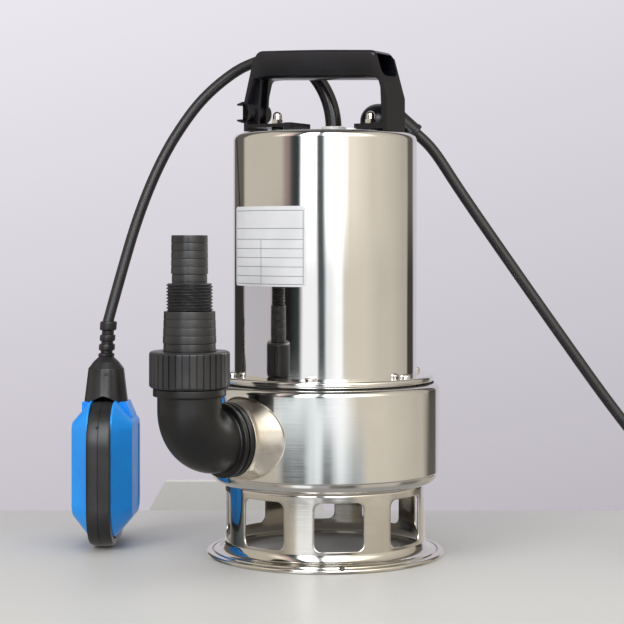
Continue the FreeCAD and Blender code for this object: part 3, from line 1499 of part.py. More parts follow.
def mains_cable():
    turn = math.radians(number("nozzle_turn"))
    reach = number("nozzle_root_reach + nozzle_length * cos(nozzle_fall)")
    start = point("hood_across", "hood_back", f"{CASING_TOP} + nozzle_root_height")
    start += FreeCAD.Vector(reach * math.cos(turn), reach * math.sin(turn),
                            -number("nozzle_length * sin(nozzle_fall)"))
    spots = [FreeCAD.Vector(*spot) for spot in MAINS_CABLE_POINTS]
    cable_tube("mains_cable", [start] + spots + [coil_end("start")])


def coil_turns():
    """Bearings, radii and heights of the coil's centre line, a half turn apart."""
    half_turns = int(number("layer_half_turns"))
    layers = int(number("coil_layers"))
    pitch = number("coil_pitch")
    low = number("coil_lift + cable_radius")
    outer = number("coil_inner") + pitch * (half_turns + 0.5) / 2
    ends = []
    step = 0
    for layer in range(layers):
        steps = half_turns + (1 if layer == layers - 1 else 0)
        for index in range(steps + 1):
            inward = index if layer % 2 == 0 else half_turns - index
            ends.append((math.pi / 2 - math.pi * step, outer - pitch * inward / 2,
                         low + pitch * (layers - 1 - layer)))
            step += 1
    return ends


def coil_end(which):
    """The centre of the coil's first or last face."""
    ends = coil_turns()
    first_radius = ends[0][1]
    bearing, radius, height = ends[0] if which == "start" else ends[-1]
    lead = 2 * number("cable_radius")
    across = number("coil_entry_across") + (0 if which == "start" else 2 * lead)
    return FreeCAD.Vector(across, number("coil_entry_back") - first_radius + radius, height)


def coil_centre():
    start = coil_end("start")
    return FreeCAD.Vector(start.x + 2 * number("cable_radius"), start.y - coil_turns()[0][1], 0)


def biarc(start, start_way, end, end_way):
    """Two arcs that join two points with the given directions at them."""
    chord = end - start
    ways = start_way + end_way
    spread = 2 * (1 - start_way.dot(end_way))
    reach = (math.sqrt(chord.dot(ways) ** 2 + spread * chord.dot(chord)) - chord.dot(ways)) / spread
    knot = (start + end + (start_way - end_way) * reach) * 0.5
    knot_way = (end - start - (start_way + end_way) * reach).normalize()
    arcs = []
    for near, way, far in ((start, start_way, knot), (knot, knot_way, end)):
        span = far - near
        angle = way.getAngle(span)
        side = (way - span * (math.cos(angle) / span.Length)).normalize()
        bulge = span.Length / 2 * math.tan(angle / 2)
        arcs.append(Part.Arc(near, near + span * 0.5 + side * bulge, far))
    return arcs


def mains_coil():
    """The spare cable, wound in layers that spiral in and out, with a straight end at each side."""
    centre = coil_centre()
    pitch = number("coil_pitch")
    radius = number("cable_radius")
    turns = coil_turns()
    spots = []
    for index, (bearing, reach, height) in enumerate(turns):
        outwards = FreeCAD.Vector(math.cos(bearing), math.sin(bearing), 0)
        onwards = FreeCAD.Vector(math.sin(bearing), -math.cos(bearing), 0)
        near = turns[index - 1] if index else turns[index]
        far = turns[index + 1] if index + 1 < len(turns) else turns[index]
        level = near if abs(near[2] - height) < 1e-6 and index else far
        growth = (reach - level[1]) / (bearing - level[0])
        way = (onwards * reach - outwards * growth).normalize()
        if index in (0, len(turns) - 1):
            way = onwards
        spots.append((centre + outwards * reach + UP * height, way))
    arcs = []
    for (start, start_way), (end, end_way) in zip(spots, spots[1:]):
        arcs += biarc(start, start_way, end, end_way)
    first = Part.LineSegment(coil_end("start"), spots[0][0])
    last = Part.LineSegment(spots[-1][0], coil_end("end"))
    path = Part.Wire([curve.toShape() for curve in [first] + arcs + [last]])
    section = Part.Wire(Part.makeCircle(radius, coil_end("start"), FreeCAD.Vector(1, 0, 0)))
    item = solid_feature("mains_coil", path.makePipeShell([section], True, False))
    expected = math.pi * radius ** 2 * path.Length
    print("mains_coil length", round(path.Length), "volume over section times length",
          round(item.Shape.Volume / expected, 4), "least gap", round(least_gap(arcs, radius, pitch), 2))


def least_gap(arcs, radius, pitch):
    """The least clearance between parts of the coil that are at least a third of a turn apart."""
    samples = []
    travelled = 0.0
    for arc in arcs:
        for share in range(COIL_SAMPLES):
            where = arc.FirstParameter + (arc.LastParameter - arc.FirstParameter) * share / COIL_SAMPLES
            samples.append((travelled + arc.length() * share / COIL_SAMPLES, arc.value(where)))
        travelled += arc.length()
    apart = math.pi * number("coil_inner")
    cells = {}
    for along, spot in samples:
        key = tuple(int(value // (2 * pitch)) for value in spot)
        cells.setdefault(key, []).append((along, spot))
    least = pitch
    for (column, line, level), members in cells.items():
        near = []
        for shift in range(27):
            key = (column + shift % 3 - 1, line + shift // 3 % 3 - 1, level + shift // 9 - 1)
            near += cells.get(key, [])
        for along, spot in members:
            for other_along, other in near:
                if other_along - along > apart:
                    least = min(least, spot.distanceToPoint(other) - 2 * radius)
    return least


def coil_tie():
    """A strap round the coil's bundle, at its front."""
    centre = coil_centre()
    body = DOC.addObject("PartDesign::Body", "coil_tie")
    body.Label = "coil_tie"
    body.Placement = FreeCAD.Placement(centre, FreeCAD.Rotation())
    half_turns = "(layer_half_turns + 0.5) / 2"
    inner = "coil_inner - cable_radius - tie_side_gap"
    outer = f"coil_inner + coil_pitch * {half_turns} + cable_radius + tie_side_gap"
    top = "2 * cable_radius + coil_pitch * (coil_layers - 1) + coil_lift"
    sketch = sketch_on(body, "YZ_Plane", "strap_outline")
    box_outline(sketch, f"-({outer} + tie_thickness)", f"-({inner} - tie_thickness)", "0",
                f"{top} + gap + tie_thickness", "tie_thickness + coil_lift")
    box_outline(sketch, f"-({outer})", f"-({inner})", "tie_thickness", f"{top} + gap", "coil_lift")
    pad(body, sketch, "strap", "tie_width", both_ways=True)


def plug_lead():
    cable_tube("plug_lead", [coil_end("end")] + [FreeCAD.Vector(*spot) for spot in PLUG_LEAD_POINTS])


def plug_placement():
    end, before = PLUG_LEAD_POINTS[-1], PLUG_LEAD_POINTS[-2]
    bearing = math.degrees(math.atan2(end[1] - before[1], end[0] - before[0]))
    return FreeCAD.Placement(FreeCAD.Vector(*end), FreeCAD.Rotation(UP, bearing))


def plug_body():
    """A round plug with a tapering neck, lying on its side."""
    body = DOC.addObject("PartDesign::Body", "plug_body")
    body.Label = "plug_body"
    body.Placement = plug_placement()
    profile = sketch_on(body, "XZ_Plane", "plug_profile")
    length = "plug_neck_length + plug_length"
    outline(profile, [
        ("0", "0"),
        (length, "0"),
        (length, "plug_face_radius", "plug_round"),
        (f"{length} - plug_length / 4", "plug_radius"),
        ("plug_neck_length + plug_length / 4", "plug_radius"),
        ("plug_neck_length", "plug_waist_radius"),
        ("plug_neck_length", "plug_neck_radius"),
        ("0", "plug_neck_radius - seal"),
    ])
    revolve(body, profile, "plug", "H_Axis")


def plug_pins():
    body = DOC.addObject("PartDesign::Body", "plug_pins")
    body.Label = "plug_pins"
    body.AllowCompound = True
    body.Placement = plug_placement()
    sketch = sketch_on(body, "YZ_Plane", "pin_circles", "plug_neck_length + plug_length")
    circles(sketch, "pin_spacing / 2", "0", "pin_radius")
    circles(sketch, "-pin_spacing / 2", "0", "pin_radius")
    pad(body, sketch, "pins", "pin_length")


def main():
    strainer_base()
    pan_screws("base_screws", "base_screw_circle", "base_screw_count", "base_screw_turn",
               "body_bottom - sheet", "base_screw_length", point_up=True)
    pump_body()
    suction_ring()
    body_rim()
    discharge_neck()
    pump_cover()
    cover_gasket()
    pan_screws("cover_screws", "cover_screw_circle", "cover_screw_count", "cover_screw_turn",
               COVER_TOP, "cover_screw_length")
    motor_casing()
    casing_oring()
    rating_label()
    handle()
    handle_cap_nuts()
    handle_washers()
    tie_studs()
    gland_collar()
    float_cable_sleeve()
    cable_hood()
    elbow()
    elbow_gasket()
    union_nut()
    hose_tail()
    hose_tail_gasket()
    float_boot()
    float_band()
    float_shell("float_shell_left", "-")
    float_shell("float_shell_right", "")
    float_ball()
    float_ball_track()
    float_micro_switch()
    impeller()
    impeller_nut()
    rotor_shaft()
    rotor_core()
    seal_head()
    round_plate("lower_bearing_inner", "shaft_bearing_radius + seat_gap", "low_bearing_inner",
                LOW_BEARING, "low_bearing_height")
    round_plate("upper_bearing_inner", "shaft_top_radius + seat_gap", "high_bearing_inner",
                TOP_BEARING, "high_bearing_height")
    oil_chamber()
    seal_seat()
    lip_seal()
    lower_bracket()
    bearing_outer("lower_bearing_outer", LOW_BEARING, "low_bearing_radius", "low_bearing_outer",
                  "low_bearing_inner", "low_bearing_height")
    bearing_outer("upper_bearing_outer", TOP_BEARING, "high_bearing_radius", "high_bearing_outer",
                  "high_bearing_inner", "high_bearing_height")
    pan_screws("bracket_screws", "bracket_screw_circle", "bracket_screw_count", "0",
               f"{COVER_TOP} + bracket_plate", "bracket_screw_length")
    motor_frame()
    stator_core()
    stator_windings()
    upper_bracket()
    run_capacitor()
    terminal_block()
    float_cable()
    mains_cable()
    mains_coil()
    coil_tie()
    plug_lead()
    plug_body()
    plug_pins()
    write_steps()


def write_steps():
    """Checks every object and writes each sub-part's solid to a file of its own."""
    DOC.recompute()
    failed = [item.Name for item in DOC.Objects if {"Invalid", "Error"} & set(item.State)]
    if failed:
        raise RuntimeError(f"failed: {failed}")
    parts = [item for item in DOC.Objects if item.TypeId in ("PartDesign::Body", "Part::Feature")
             and item.Label == item.Name and item.getParentGroup() is None]
    os.makedirs("parts", exist_ok=True)
    for item in parts:
        if item.Shape.isNull() or not item.Shape.isValid() or not item.Shape.Solids:
            raise RuntimeError(f"{item.Label} has no valid solid")
        item.Shape.exportStep(f"parts/{item.Label}.step")
    print(len(parts), "sub-parts")


main()
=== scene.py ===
"""Looks of a submersible sump pump: polished steel, moulded black fittings and a blue float switch.

Sizes are millimetres and degrees. The pump stands on its axis at the origin, the front faces -Y
and +Z is up. Bearings round the pump count from the front, positive to the right.
"""
import math
import bmesh
import bpy
from mathutils import Matrix, Vector


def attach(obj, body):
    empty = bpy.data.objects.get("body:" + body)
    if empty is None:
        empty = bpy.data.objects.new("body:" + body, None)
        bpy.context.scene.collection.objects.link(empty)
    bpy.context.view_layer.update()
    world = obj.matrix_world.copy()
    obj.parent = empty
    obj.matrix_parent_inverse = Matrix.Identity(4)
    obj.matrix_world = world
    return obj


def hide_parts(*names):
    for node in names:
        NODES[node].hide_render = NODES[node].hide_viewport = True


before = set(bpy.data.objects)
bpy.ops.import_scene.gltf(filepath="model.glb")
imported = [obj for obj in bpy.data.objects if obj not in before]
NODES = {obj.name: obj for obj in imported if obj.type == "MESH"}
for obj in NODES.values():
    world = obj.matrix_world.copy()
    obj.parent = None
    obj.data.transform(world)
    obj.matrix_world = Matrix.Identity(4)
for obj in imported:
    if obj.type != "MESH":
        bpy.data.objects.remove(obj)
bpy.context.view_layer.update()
MM = 0.001

# Sizes of the pump, as in the solid model
FOOT_RADIUS = 90.4
SKIRT_RADIUS = 76.5
SKIRT_SHEET = 1.6
WINDOW_COUNT = 8
WINDOW_TURN = 7.5
WINDOW_WIDTH = 36.4
WINDOW_LOW = 13.5
WINDOW_HIGH = 48.7
WINDOW_ROUND = 5.6
BODY_LOW = 55.9
BODY_HIGH = 130.8
BODY_RADIUS = 88.0
NECK_TURN = -45.0
NECK_RADIUS = 27.25
NECK_HEIGHT = 94.3
NECK_FACE = 98.0
COVER_LOW = 131.4
COVER_HIGH = 136.9
COVER_RADIUS = 83.2
CASING_RADIUS = 70.2
CASING_HIGH = 320.0
COVER_SCREW_CIRCLE = 75.5
COVER_SCREW_TURN = -8.7
FITTING_REACH = 137.0
CABLE_RADIUS = 4.3
PIVOT = (-171.9, 36.0, 169.6)
FLOAT_TURN = -1.8
HANDLE_TURN = -30.0
PLATE_LEFT = -71.3
PLATE_RIGHT = -12.0
PLATE_LOW = 205.0
PLATE_HIGH = 264.0


# Materials

def linear(colour):
    """A colour as six hex digits of sRGB, turned to the linear values that Blender mixes."""
    parts = [int(colour[start:start + 2], 16) / 255 for start in (0, 2, 4)]
    straight = [part / 12.92 if part <= 0.04045 else ((part + 0.055) / 1.055) ** 2.4 for part in parts]
    return (*straight, 1.0)


def per_metre(millimetres):
    """The scale at which a pattern of that size repeats on coordinates in metres."""
    return 1 / (millimetres * MM)


def add(tree, kind, inputs=None, out=0, **settings):
    """Adds a node with its settings, sets or links its inputs, and returns one of its outputs."""
    made = tree.nodes.new("ShaderNode" + kind)
    for name, value in settings.items():
        setattr(made, name, value)
    for name, value in (inputs or {}).items():
        if isinstance(value, bpy.types.NodeSocket):
            tree.links.new(value, made.inputs[name])
        else:
            made.inputs[name].default_value = value
    return made.outputs[out] if made.outputs else None


def new_material(name):
    """An empty material, its node tree and the object's own coordinates."""
    material = bpy.data.materials.new(name)
    material.use_nodes = True
    tree = material.node_tree
    tree.nodes.clear()
    return material, tree, add(tree, "TexCoord", out="Object")


def finished(material, **sockets):
    """Ends a material's tree in one principled shader, whose sockets are named with underscores."""
    tree = material.node_tree
    shader = add(tree, "BsdfPrincipled", {name.replace("_", " "): value for name, value in sockets.items()})
    add(tree, "OutputMaterial", {"Surface": shader})
    return material


def turned_steel(name, tint, shade, roughness, blotch_mm, hairline_mm, hairline_depth, wave_mm, wave_depth,
                 painted_shade=None):
    """Drawn stainless sheet polished on a spindle.

    Hairlines run round the pump, so what it mirrors is drawn out upwards and stays crisp sideways,
    faint blotches show where the polishing wheel bit less, and shallow waves bend what it mirrors.
    """
    material, tree, place = new_material(name)
    around, upright = (per_metre(40), per_metre(40), per_metre(hairline_mm)), (1.0, 1.0, 0.12)
    blotches = add(tree, "TexNoise", {"Vector": place, "Scale": per_metre(blotch_mm), "Detail": 3.0})
    drawn_out = add(tree, "Mapping", {"Vector": place, "Scale": around})
    hairlines = add(tree, "TexNoise", {"Vector": drawn_out, "Scale": 1.0, "Detail": 4.0})
    both = add(tree, "Math", {0: blotches, 1: hairlines}, operation="MULTIPLY")
    stretched = add(tree, "Mapping", {"Vector": place, "Scale": upright})
    waves = add(tree, "TexNoise", {"Vector": stretched, "Scale": per_metre(wave_mm), "Detail": 1.0})
    wavy = add(tree, "Bump", {"Height": waves, "Strength": 1.0, "Distance": wave_depth * MM})
    colour = add(tree, "Mix", {"Factor": blotches, "A": linear(shade), "B": linear(tint)}, 2,
                 data_type="RGBA")
    # Any painted shade given is mixed into the colour here
    return finished(
        material, Metallic=1.0, Anisotropic=0.25, Base_Color=painted_shade(tree, colour) if painted_shade else colour,
        Roughness=add(tree, "MapRange", {"Value": both, "From Min": 0.1, "From Max": 0.45,
                                         "To Min": roughness * 0.7, "To Max": roughness * 1.5}),
        Normal=add(tree, "Bump", {"Height": hairlines, "Strength": hairline_depth, "Distance": 0.1 * MM,
                                  "Normal": wavy}),
        Tangent=add(tree, "Tangent", direction_type="RADIAL", axis="Z"))


def shaded_inside(tree, polished):
    """The side of a sheet that faces the pump's axis gets a painted shade, darker towards its bottom."""
    place = add(tree, "TexCoord", out="Object")
    outward = add(tree, "TexCoord", out="Normal")
    facing = add(tree, "VectorMath", {0: place, 1: outward}, "Value", operation="DOT_PRODUCT")
    height = add(tree, "SeparateXYZ", {0: place}, "Z")
    rise = add(tree, "MapRange", {"Value": height, "From Min": 6 * MM, "From Max": 50 * MM})
    # Painted shade for the inside, darker towards the bottom
    inside_shade = add(tree, "Mix", {"Factor": rise, "A": linear("6C6760"), "B": linear("A39F96")}, 2,
                data_type="RGBA")
    share = add(tree, "MapRange", {"Value": facing, "From Min": -4 * MM, "From Max": -2 * MM,
                                   "To Min": 1.0, "To Max": 0.0})
    return add(tree, "Mix", {"Factor": share, "A": polished, "B": inside_shade}, 2, data_type="RGBA")


def shaded_neck_top(tree, bare):
    """The upper side of the neck is darkened with a painted shade."""
    height = add(tree, "SeparateXYZ", {0: add(tree, "TexCoord", out="Object")}, "Z")
    share = add(tree, "MapRange", {"Value": height, "From Min": (NECK_HEIGHT - 4.3) * MM,
                                   "From Max": (NECK_HEIGHT + 6.7) * MM})
    # Painted shade over the neck's upper side
    return add(tree, "Mix", {"Factor": share, "A": bare, "B": linear("948D82")}, 2, data_type="RGBA")


def plated_steel(name, tint, shade, roughness):
    """Turned fasteners with a bright plating that has dulled unevenly."""
    material, tree, place = new_material(name)
    grain = add(tree, "TexNoise", {"Vector": place, "Scale": per_metre(1.5), "Detail": 4.0})
    return finished(
        material, Metallic=1.0,
        Base_Color=add(tree, "Mix", {"Factor": grain, "A": linear(shade), "B": linear(tint)}, 2,
                       data_type="RGBA"),
        Roughness=add(tree, "MapRange", {"Value": grain, "From Min": 0.3, "From Max": 0.7,
                                         "To Min": roughness * 0.7, "To Max": roughness * 1.4}),
        Normal=add(tree, "Bump", {"Height": grain, "Strength": 0.05, "Distance": 0.1 * MM}))


def moulded_plastic(name, light, dark, roughness, grain_mm, grain_depth):
    """Plastic from a spark-eroded mould: a fine even grain that breaks up its sheen, dulled by handling."""
    material, tree, place = new_material(name)
    wear = add(tree, "TexNoise", {"Vector": place, "Scale": per_metre(24), "Detail": 5.0})
    worn = add(tree, "MapRange", {"Value": wear, "From Min": 0.3, "From Max": 0.7})
    grain = add(tree, "TexNoise", {"Vector": place, "Scale": per_metre(grain_mm), "Detail": 2.0})
    return finished(
        material, IOR=1.5,
        Base_Color=add(tree, "Mix", {"Factor": worn, "A": linear(dark), "B": linear(light)}, 2,
                       data_type="RGBA"),
        Roughness=add(tree, "MapRange", {"Value": worn, "To Min": roughness * 0.85,
                                         "To Max": roughness * 1.2}),
        Normal=add(tree, "Bump", {"Height": grain, "Strength": grain_depth, "Distance": 0.1 * MM}))


def ground_casting(name, light, dark, roughness, grain_mm):
    """Cast or pressed motor parts, matt and slightly pitted."""
    material, tree, place = new_material(name)
    pits = add(tree, "TexNoise", {"Vector": place, "Scale": per_metre(grain_mm), "Detail": 6.0})
    return finished(
        material, Metallic=0.7,
        Base_Color=add(tree, "Mix", {"Factor": pits, "A": linear(dark), "B": linear(light)}, 2,
                       data_type="RGBA"),
        Roughness=add(tree, "MapRange", {"Value": pits, "To Min": roughness * 0.9,
                                         "To Max": roughness * 1.2}),
        Normal=add(tree, "Bump", {"Height": pits, "Strength": 0.25, "Distance": 0.2 * MM}))


def striped_metal(name, light, dark, stripe_mm, bands_direction):
    """Thin layers or turns seen edge on: core sheets, or enamelled copper wire."""
    material, tree, place = new_material(name)
    # Blender's wave repeats every 2 pi / 20 of its scaled coordinate
    stripes = add(tree, "TexWave", {"Vector": place, "Scale": per_metre(stripe_mm) * math.pi / 10}, 1,
                  bands_direction=bands_direction)
    return finished(
        material, Metallic=0.8, Roughness=0.4,
        Base_Color=add(tree, "Mix", {"Factor": stripes, "A": linear(dark), "B": linear(light)}, 2,
                       data_type="RGBA"),
        Normal=add(tree, "Bump", {"Height": stripes, "Strength": 0.4, "Distance": 0.2 * MM}))


# The casing is the brighter of the drawn parts, the volute was polished by hand
CASING_STEEL = turned_steel("mirror_polished_stainless_casing", "ECEBE9", "E0DEDB", 0.06, 45, 0.5, 0.02,
                            45, 0.06)
VOLUTE_STEEL = turned_steel("hand_polished_stainless_volute", "E6E5E3", "DAD8D4", 0.07, 22, 0.7, 0.03,
                            30, 0.3)
# The neck's upper side is darkened by a painted shade
NECK_STEEL = turned_steel("welded_stainless_neck", "F6EFE3", "DED6CA", 0.33, 12, 0.7, 0.05, 14, 0.12,
                          shaded_neck_top)
# The strainer's inside is darkened by a painted shade
FOOT_STEEL = turned_steel("pressed_stainless_strainer", "E2DFD9", "D2CEC6", 0.09, 18, 0.7, 0.04, 26, 0.12,
                          shaded_inside)
SCREW_STEEL = plated_steel("bright_plated_screws", "EFEEEC", "D2D0CC", 0.13)
SCORCHED_STEEL = plated_steel("heat_tinted_weld_steel", "4A443E", "2E2A27", 0.4)
SHAFT_STEEL = plated_steel("ground_shaft_steel", "C9C7C4", "A5A39F", 0.25)
BLACK_NYLON = moulded_plastic("glass_filled_black_nylon", "101119", "08090E", 0.3, 0.9, 0.12)
BLACK_ABS = moulded_plastic("black_abs_fitting", "343435", "262627", 0.34, 0.8, 0.2)
FLOAT_BLACK = moulded_plastic("black_polypropylene_band", "2A2A2B", "1D1D1E", 0.36, 0.9, 0.2)
FLOAT_BLUE = moulded_plastic("azure_polypropylene", "1B9FFC", "1591F0", 0.36, 0.7, 0.08)
ELBOW_ABS = moulded_plastic("satin_black_abs_elbow", "161617", "0F0F10", 0.36, 0.7, 0.1)
BLACK_RUBBER = moulded_plastic("black_nitrile_rubber", "1B1B1C", "121213", 0.6, 0.6, 0.35)
GLOSSY_RUBBER = moulded_plastic("glossy_black_pvc_sleeve", "1A1A1B", "111112", 0.24, 0.9, 0.08)
BOOT_RUBBER = moulded_plastic("soft_pvc_boot", "262627", "181819", 0.33, 1.1, 0.15)
CABLE_SHEATH = moulded_plastic("black_rubber_cable_sheath", "202021", "18181A", 0.36, 1.2, 0.06)
WHITE_NYLON = moulded_plastic("natural_white_nylon", "E9E9E6", "DADAD6", 0.4, 0.7, 0.1)
LABEL_FILM = moulded_plastic("satin_white_polyester_film", "ECEDEE", "E2E3E4", 0.35, 3.0, 0.03)
LABEL_INK = moulded_plastic("grey_printing_ink", "4A4C4F", "3E4043", 0.5, 1.0, 0.05)
PAINTED_IRON = ground_casting("painted_grey_cast_iron", "55585B", "3F4245", 0.5, 2.5)
CORE_SHEETS = striped_metal("laminated_core_steel", "8A8D90", "4C4F52", 1.0, "Z")
COPPER_TURNS = striped_metal("enamelled_copper_wire", "B8683A", "6E3418", 1.4, "DIAGONAL")
CERAMIC = moulded_plastic("ground_alumina_ceramic", "E4DDCB", "D5CDBA", 0.25, 0.6, 0.05)
PIN_PLATE = plated_steel("nickel_plated_brass_pins", "D9D2C0", "BFB59C", 0.18)

# The nodes of the solid model in each material
FINISHES = (
    (FOOT_STEEL, "strainer_base"),
    (VOLUTE_STEEL, "pump_body suction_ring body_rim pump_cover"),
    (NECK_STEEL, "discharge_neck"),
    (CASING_STEEL, "motor_casing"),
    (SCREW_STEEL, "base_screws cover_screws handle_cap_nuts impeller_nut bracket_screws"),
    (SHAFT_STEEL, "tie_studs float_ball rotor_shaft seal_head lower_bearing_inner upper_bearing_inner "
                  "lower_bearing_outer upper_bearing_outer motor_frame"),
    (BLACK_RUBBER, "cover_gasket casing_oring handle_washers float_cable_sleeve elbow_gasket "
                   "hose_tail_gasket lip_seal plug_body"),
    (BOOT_RUBBER, "float_boot"),
    (BLACK_NYLON, "handle cable_hood"),
    (BLACK_ABS, "elbow union_nut hose_tail float_micro_switch coil_tie"),
    (FLOAT_BLACK, "float_band"),
    (FLOAT_BLUE, "float_shell_left float_shell_right"),
    (WHITE_NYLON, "gland_collar float_ball_track run_capacitor terminal_block"),
    (LABEL_FILM, "rating_label"),
    (CERAMIC, "seal_seat"),
    (PAINTED_IRON, "impeller oil_chamber lower_bracket upper_bracket"),
    (CORE_SHEETS, "rotor_core stator_core"),
    (COPPER_TURNS, "stator_windings"),
    (CABLE_SHEATH, "float_cable mains_cable mains_coil plug_lead"),
    (PIN_PLATE, "plug_pins"),
)
for finish, names in FINISHES:
    for node_name in names.split():
        NODES[node_name].data.materials.clear()
        NODES[node_name].data.materials.append(finish)


# Shapes

UP = Vector((0.0, 0.0, 1.0))


def bearing_point(bearing, radius, height):
    """A point at a bearing from the front, positive to the right."""
    angle = math.radians(bearing)
    return Vector((radius * math.sin(angle), -radius * math.cos(angle), height))


def angles_round(count):
    """The angles of equal steps round a circle."""
    return [2 * math.pi * step / count for step in range(count)]


def rounded(corners, steps=6, closed=False):
    """Points along straight sides through (across, up) corners, with an arc where a corner has a rounding."""
    points = []
    count = len(corners)
    for index, corner in enumerate(corners):
        spot = Vector(corner[:2])
        inner = closed or 0 < index < count - 1
        if len(corner) < 3 or not inner or corner[2] <= 0:
            points.append(spot)
            continue
        back = (Vector(corners[index - 1][:2]) - spot).normalized()
        ahead = (Vector(corners[(index + 1) % count][:2]) - spot).normalized()
        half = back.angle(ahead) / 2
        reach = corner[2] / math.tan(half)
        centre = spot + (back + ahead).normalized() * (corner[2] / math.sin(half))
        start = spot + back * reach - centre
        end = spot + ahead * reach - centre
        sweep = start.angle_signed(end)
        for step in range(steps + 1):
            points.append(centre + Matrix.Rotation(-sweep * step / steps, 2) @ start)
    return points


def placed(name, data):
    """Puts an object of its data in the scene."""
    item = bpy.data.objects.new(name, data)
    bpy.context.scene.collection.objects.link(item)
    return item


def new_piece(name, shape, material):
    """Makes an object of a bmesh in metres."""
    mesh = bpy.data.meshes.new(name)
    shape.to_mesh(mesh)
    shape.free()
    mesh.materials.append(material)
    return placed(name, mesh)


def finish_piece(name, shape, material, body, replaced=(), sharp=35, move=Matrix()):
    """Makes a piece of a bmesh in millimetres, crisp at edges sharper than the given angle."""
    bmesh.ops.remove_doubles(shape, verts=shape.verts, dist=0.001)
    shape.transform(Matrix.Scale(MM, 4) @ move)
    bmesh.ops.recalc_face_normals(shape, faces=shape.faces)
    for edge in shape.edges:
        edge.smooth = len(edge.link_faces) == 2 and edge.calc_face_angle() < math.radians(sharp)
    for face in shape.faces:
        face.smooth = True
    piece = new_piece(name, shape, material)
    piece.modifiers.new("straight_walls", "WEIGHTED_NORMAL").keep_sharp = True
    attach(piece, body)
    if replaced:
        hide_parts(*replaced)
    return piece


def stand(name, shape, material):
    """Makes a piece of the setting, which isn't part of the pump."""
    shape.transform(Matrix.Scale(MM, 4))
    bmesh.ops.recalc_face_normals(shape, faces=shape.faces)
    piece = new_piece(name, shape, material)
    return piece


def skin(shape, rings, closed=False):
    """Adds the quads between equal rings of points to a bmesh, and back to the first ring if closed."""
    made = [[shape.verts.new(point) for point in ring] for ring in rings]
    count = len(rings[0])
    for low, high in list(zip(made, made[1:])) + ([(made[-1], made[0])] if closed else []):
        for index in range(count):
            after = (index + 1) % count
            shape.faces.new((low[index], low[after], high[after], high[index]))
    return made


def bar(rings, shape=None):
    """The quads between equal rings, closed at both ends, in a new bmesh or a given one."""
    shape = shape or bmesh.new()
    made = skin(shape, rings)
    shape.faces.new(made[0])
    shape.faces.new(list(reversed(made[-1])))
    return shape


def lathe(profile, around):
    """A bmesh of a profile of (radius, height) points turned about the upright axis."""
    shape = shaped_lathe(profile, lambda angle, height: math.inf, around)
    bmesh.ops.dissolve_degenerate(shape, dist=0.0005, edges=shape.edges)
    return shape


def shaped_lathe(profile, radius_at, around):
    """A lathe whose rings are held to a radius that changes with the angle and the height."""
    shape = bmesh.new()
    rings = []
    for radius, height in profile:
        ring = []
        for angle in angles_round(around):
            kept = min(radius, radius_at(angle, height))
            ring.append(Vector((kept * math.cos(angle), kept * math.sin(angle), height)))
        rings.append(ring)
    skin(shape, rings)
    return shape


def prism(outline, front, back):
    """A bmesh of a closed outline of (across, up) points, drawn from one depth to another."""
    return bar([[Vector((spot[0], depth, spot[1])) for spot in outline] for depth in (front, back)])


def swept(stations, side, around):
    """A tube through stations of (centre, heading, radius), all square to the side direction."""
    shape = bmesh.new()
    rings = []
    for centre, heading, radius in stations:
        over = side.cross(heading)
        rings.append([centre + (side * math.cos(angle) + over * math.sin(angle)) * radius
                      for angle in angles_round(around)])
    skin(shape, rings)
    return shape


def edge_cutter(course, depth, facing):
    """What rounding an edge off takes away, on a course of (spot, outward normal, rounding) at a depth."""
    steps = 7
    rings = []
    for spot, outward, rounding in course:
        section = [(1.0, 1.0), (1.0, -rounding)]
        for step in range(steps + 1):
            angle = math.pi / 2 * step / steps
            section.append((rounding * (math.cos(angle) - 1), rounding * (math.sin(angle) - 1)))
        section.append((-rounding, 1.0))
        for_ring = [(spot + outward * beyond, facing * (depth + past)) for past, beyond in section]
        rings.append([Vector((flat.x, at_depth, flat.y)) for flat, at_depth in for_ring])
    return bar(rings)


def soften(piece, width):
    """Breaks a piece's hard edges, as a mould's radius does."""
    bevel = piece.modifiers.new("broken_edges", "BEVEL")
    bevel.width = width * MM
    bevel.segments = 2
    bevel.limit_method = "ANGLE"
    bevel.angle_limit = math.radians(40)
    bevel.use_clamp_overlap = True


def aimed(origin, direction):
    """A matrix that stands a piece's upright axis along a direction at a point."""
    upright = UP.rotation_difference(Vector(direction)).to_matrix().to_4x4()
    return Matrix.Translation(origin) @ upright


def turned_about_z(origin, turn):
    """A matrix that turns a piece about its upright axis and moves it to a point."""
    return Matrix.Translation(origin) @ Matrix.Rotation(math.radians(turn), 4, "Z")


def merge(shape, other):
    """Copies one bmesh into another."""
    mesh = bpy.data.meshes.new("merged")
    other.to_mesh(mesh)
    other.free()
    shape.from_mesh(mesh)
    bpy.data.meshes.remove(mesh)


def cut(shape, cutter):
    """One bmesh less another, by Blender's exact boolean."""
    objects = []
    for part in (shape, cutter):
        bmesh.ops.remove_doubles(part, verts=part.verts, dist=0.0005)
        bmesh.ops.recalc_face_normals(part, faces=part.faces)
        mesh = bpy.data.meshes.new("part")
        part.to_mesh(mesh)
        part.free()
        objects.append(placed("part", mesh))
    kept, tool = objects
    less = kept.modifiers.new("less", "BOOLEAN")
    less.object = tool
    less.solver = "EXACT"
    less.use_self = True
    result = bmesh.new()
    result.from_object(kept, bpy.context.evaluated_depsgraph_get())
    for item in objects:
        mesh = item.data
        bpy.data.objects.remove(item)
        bpy.data.meshes.remove(mesh)
    return result


# Strainer

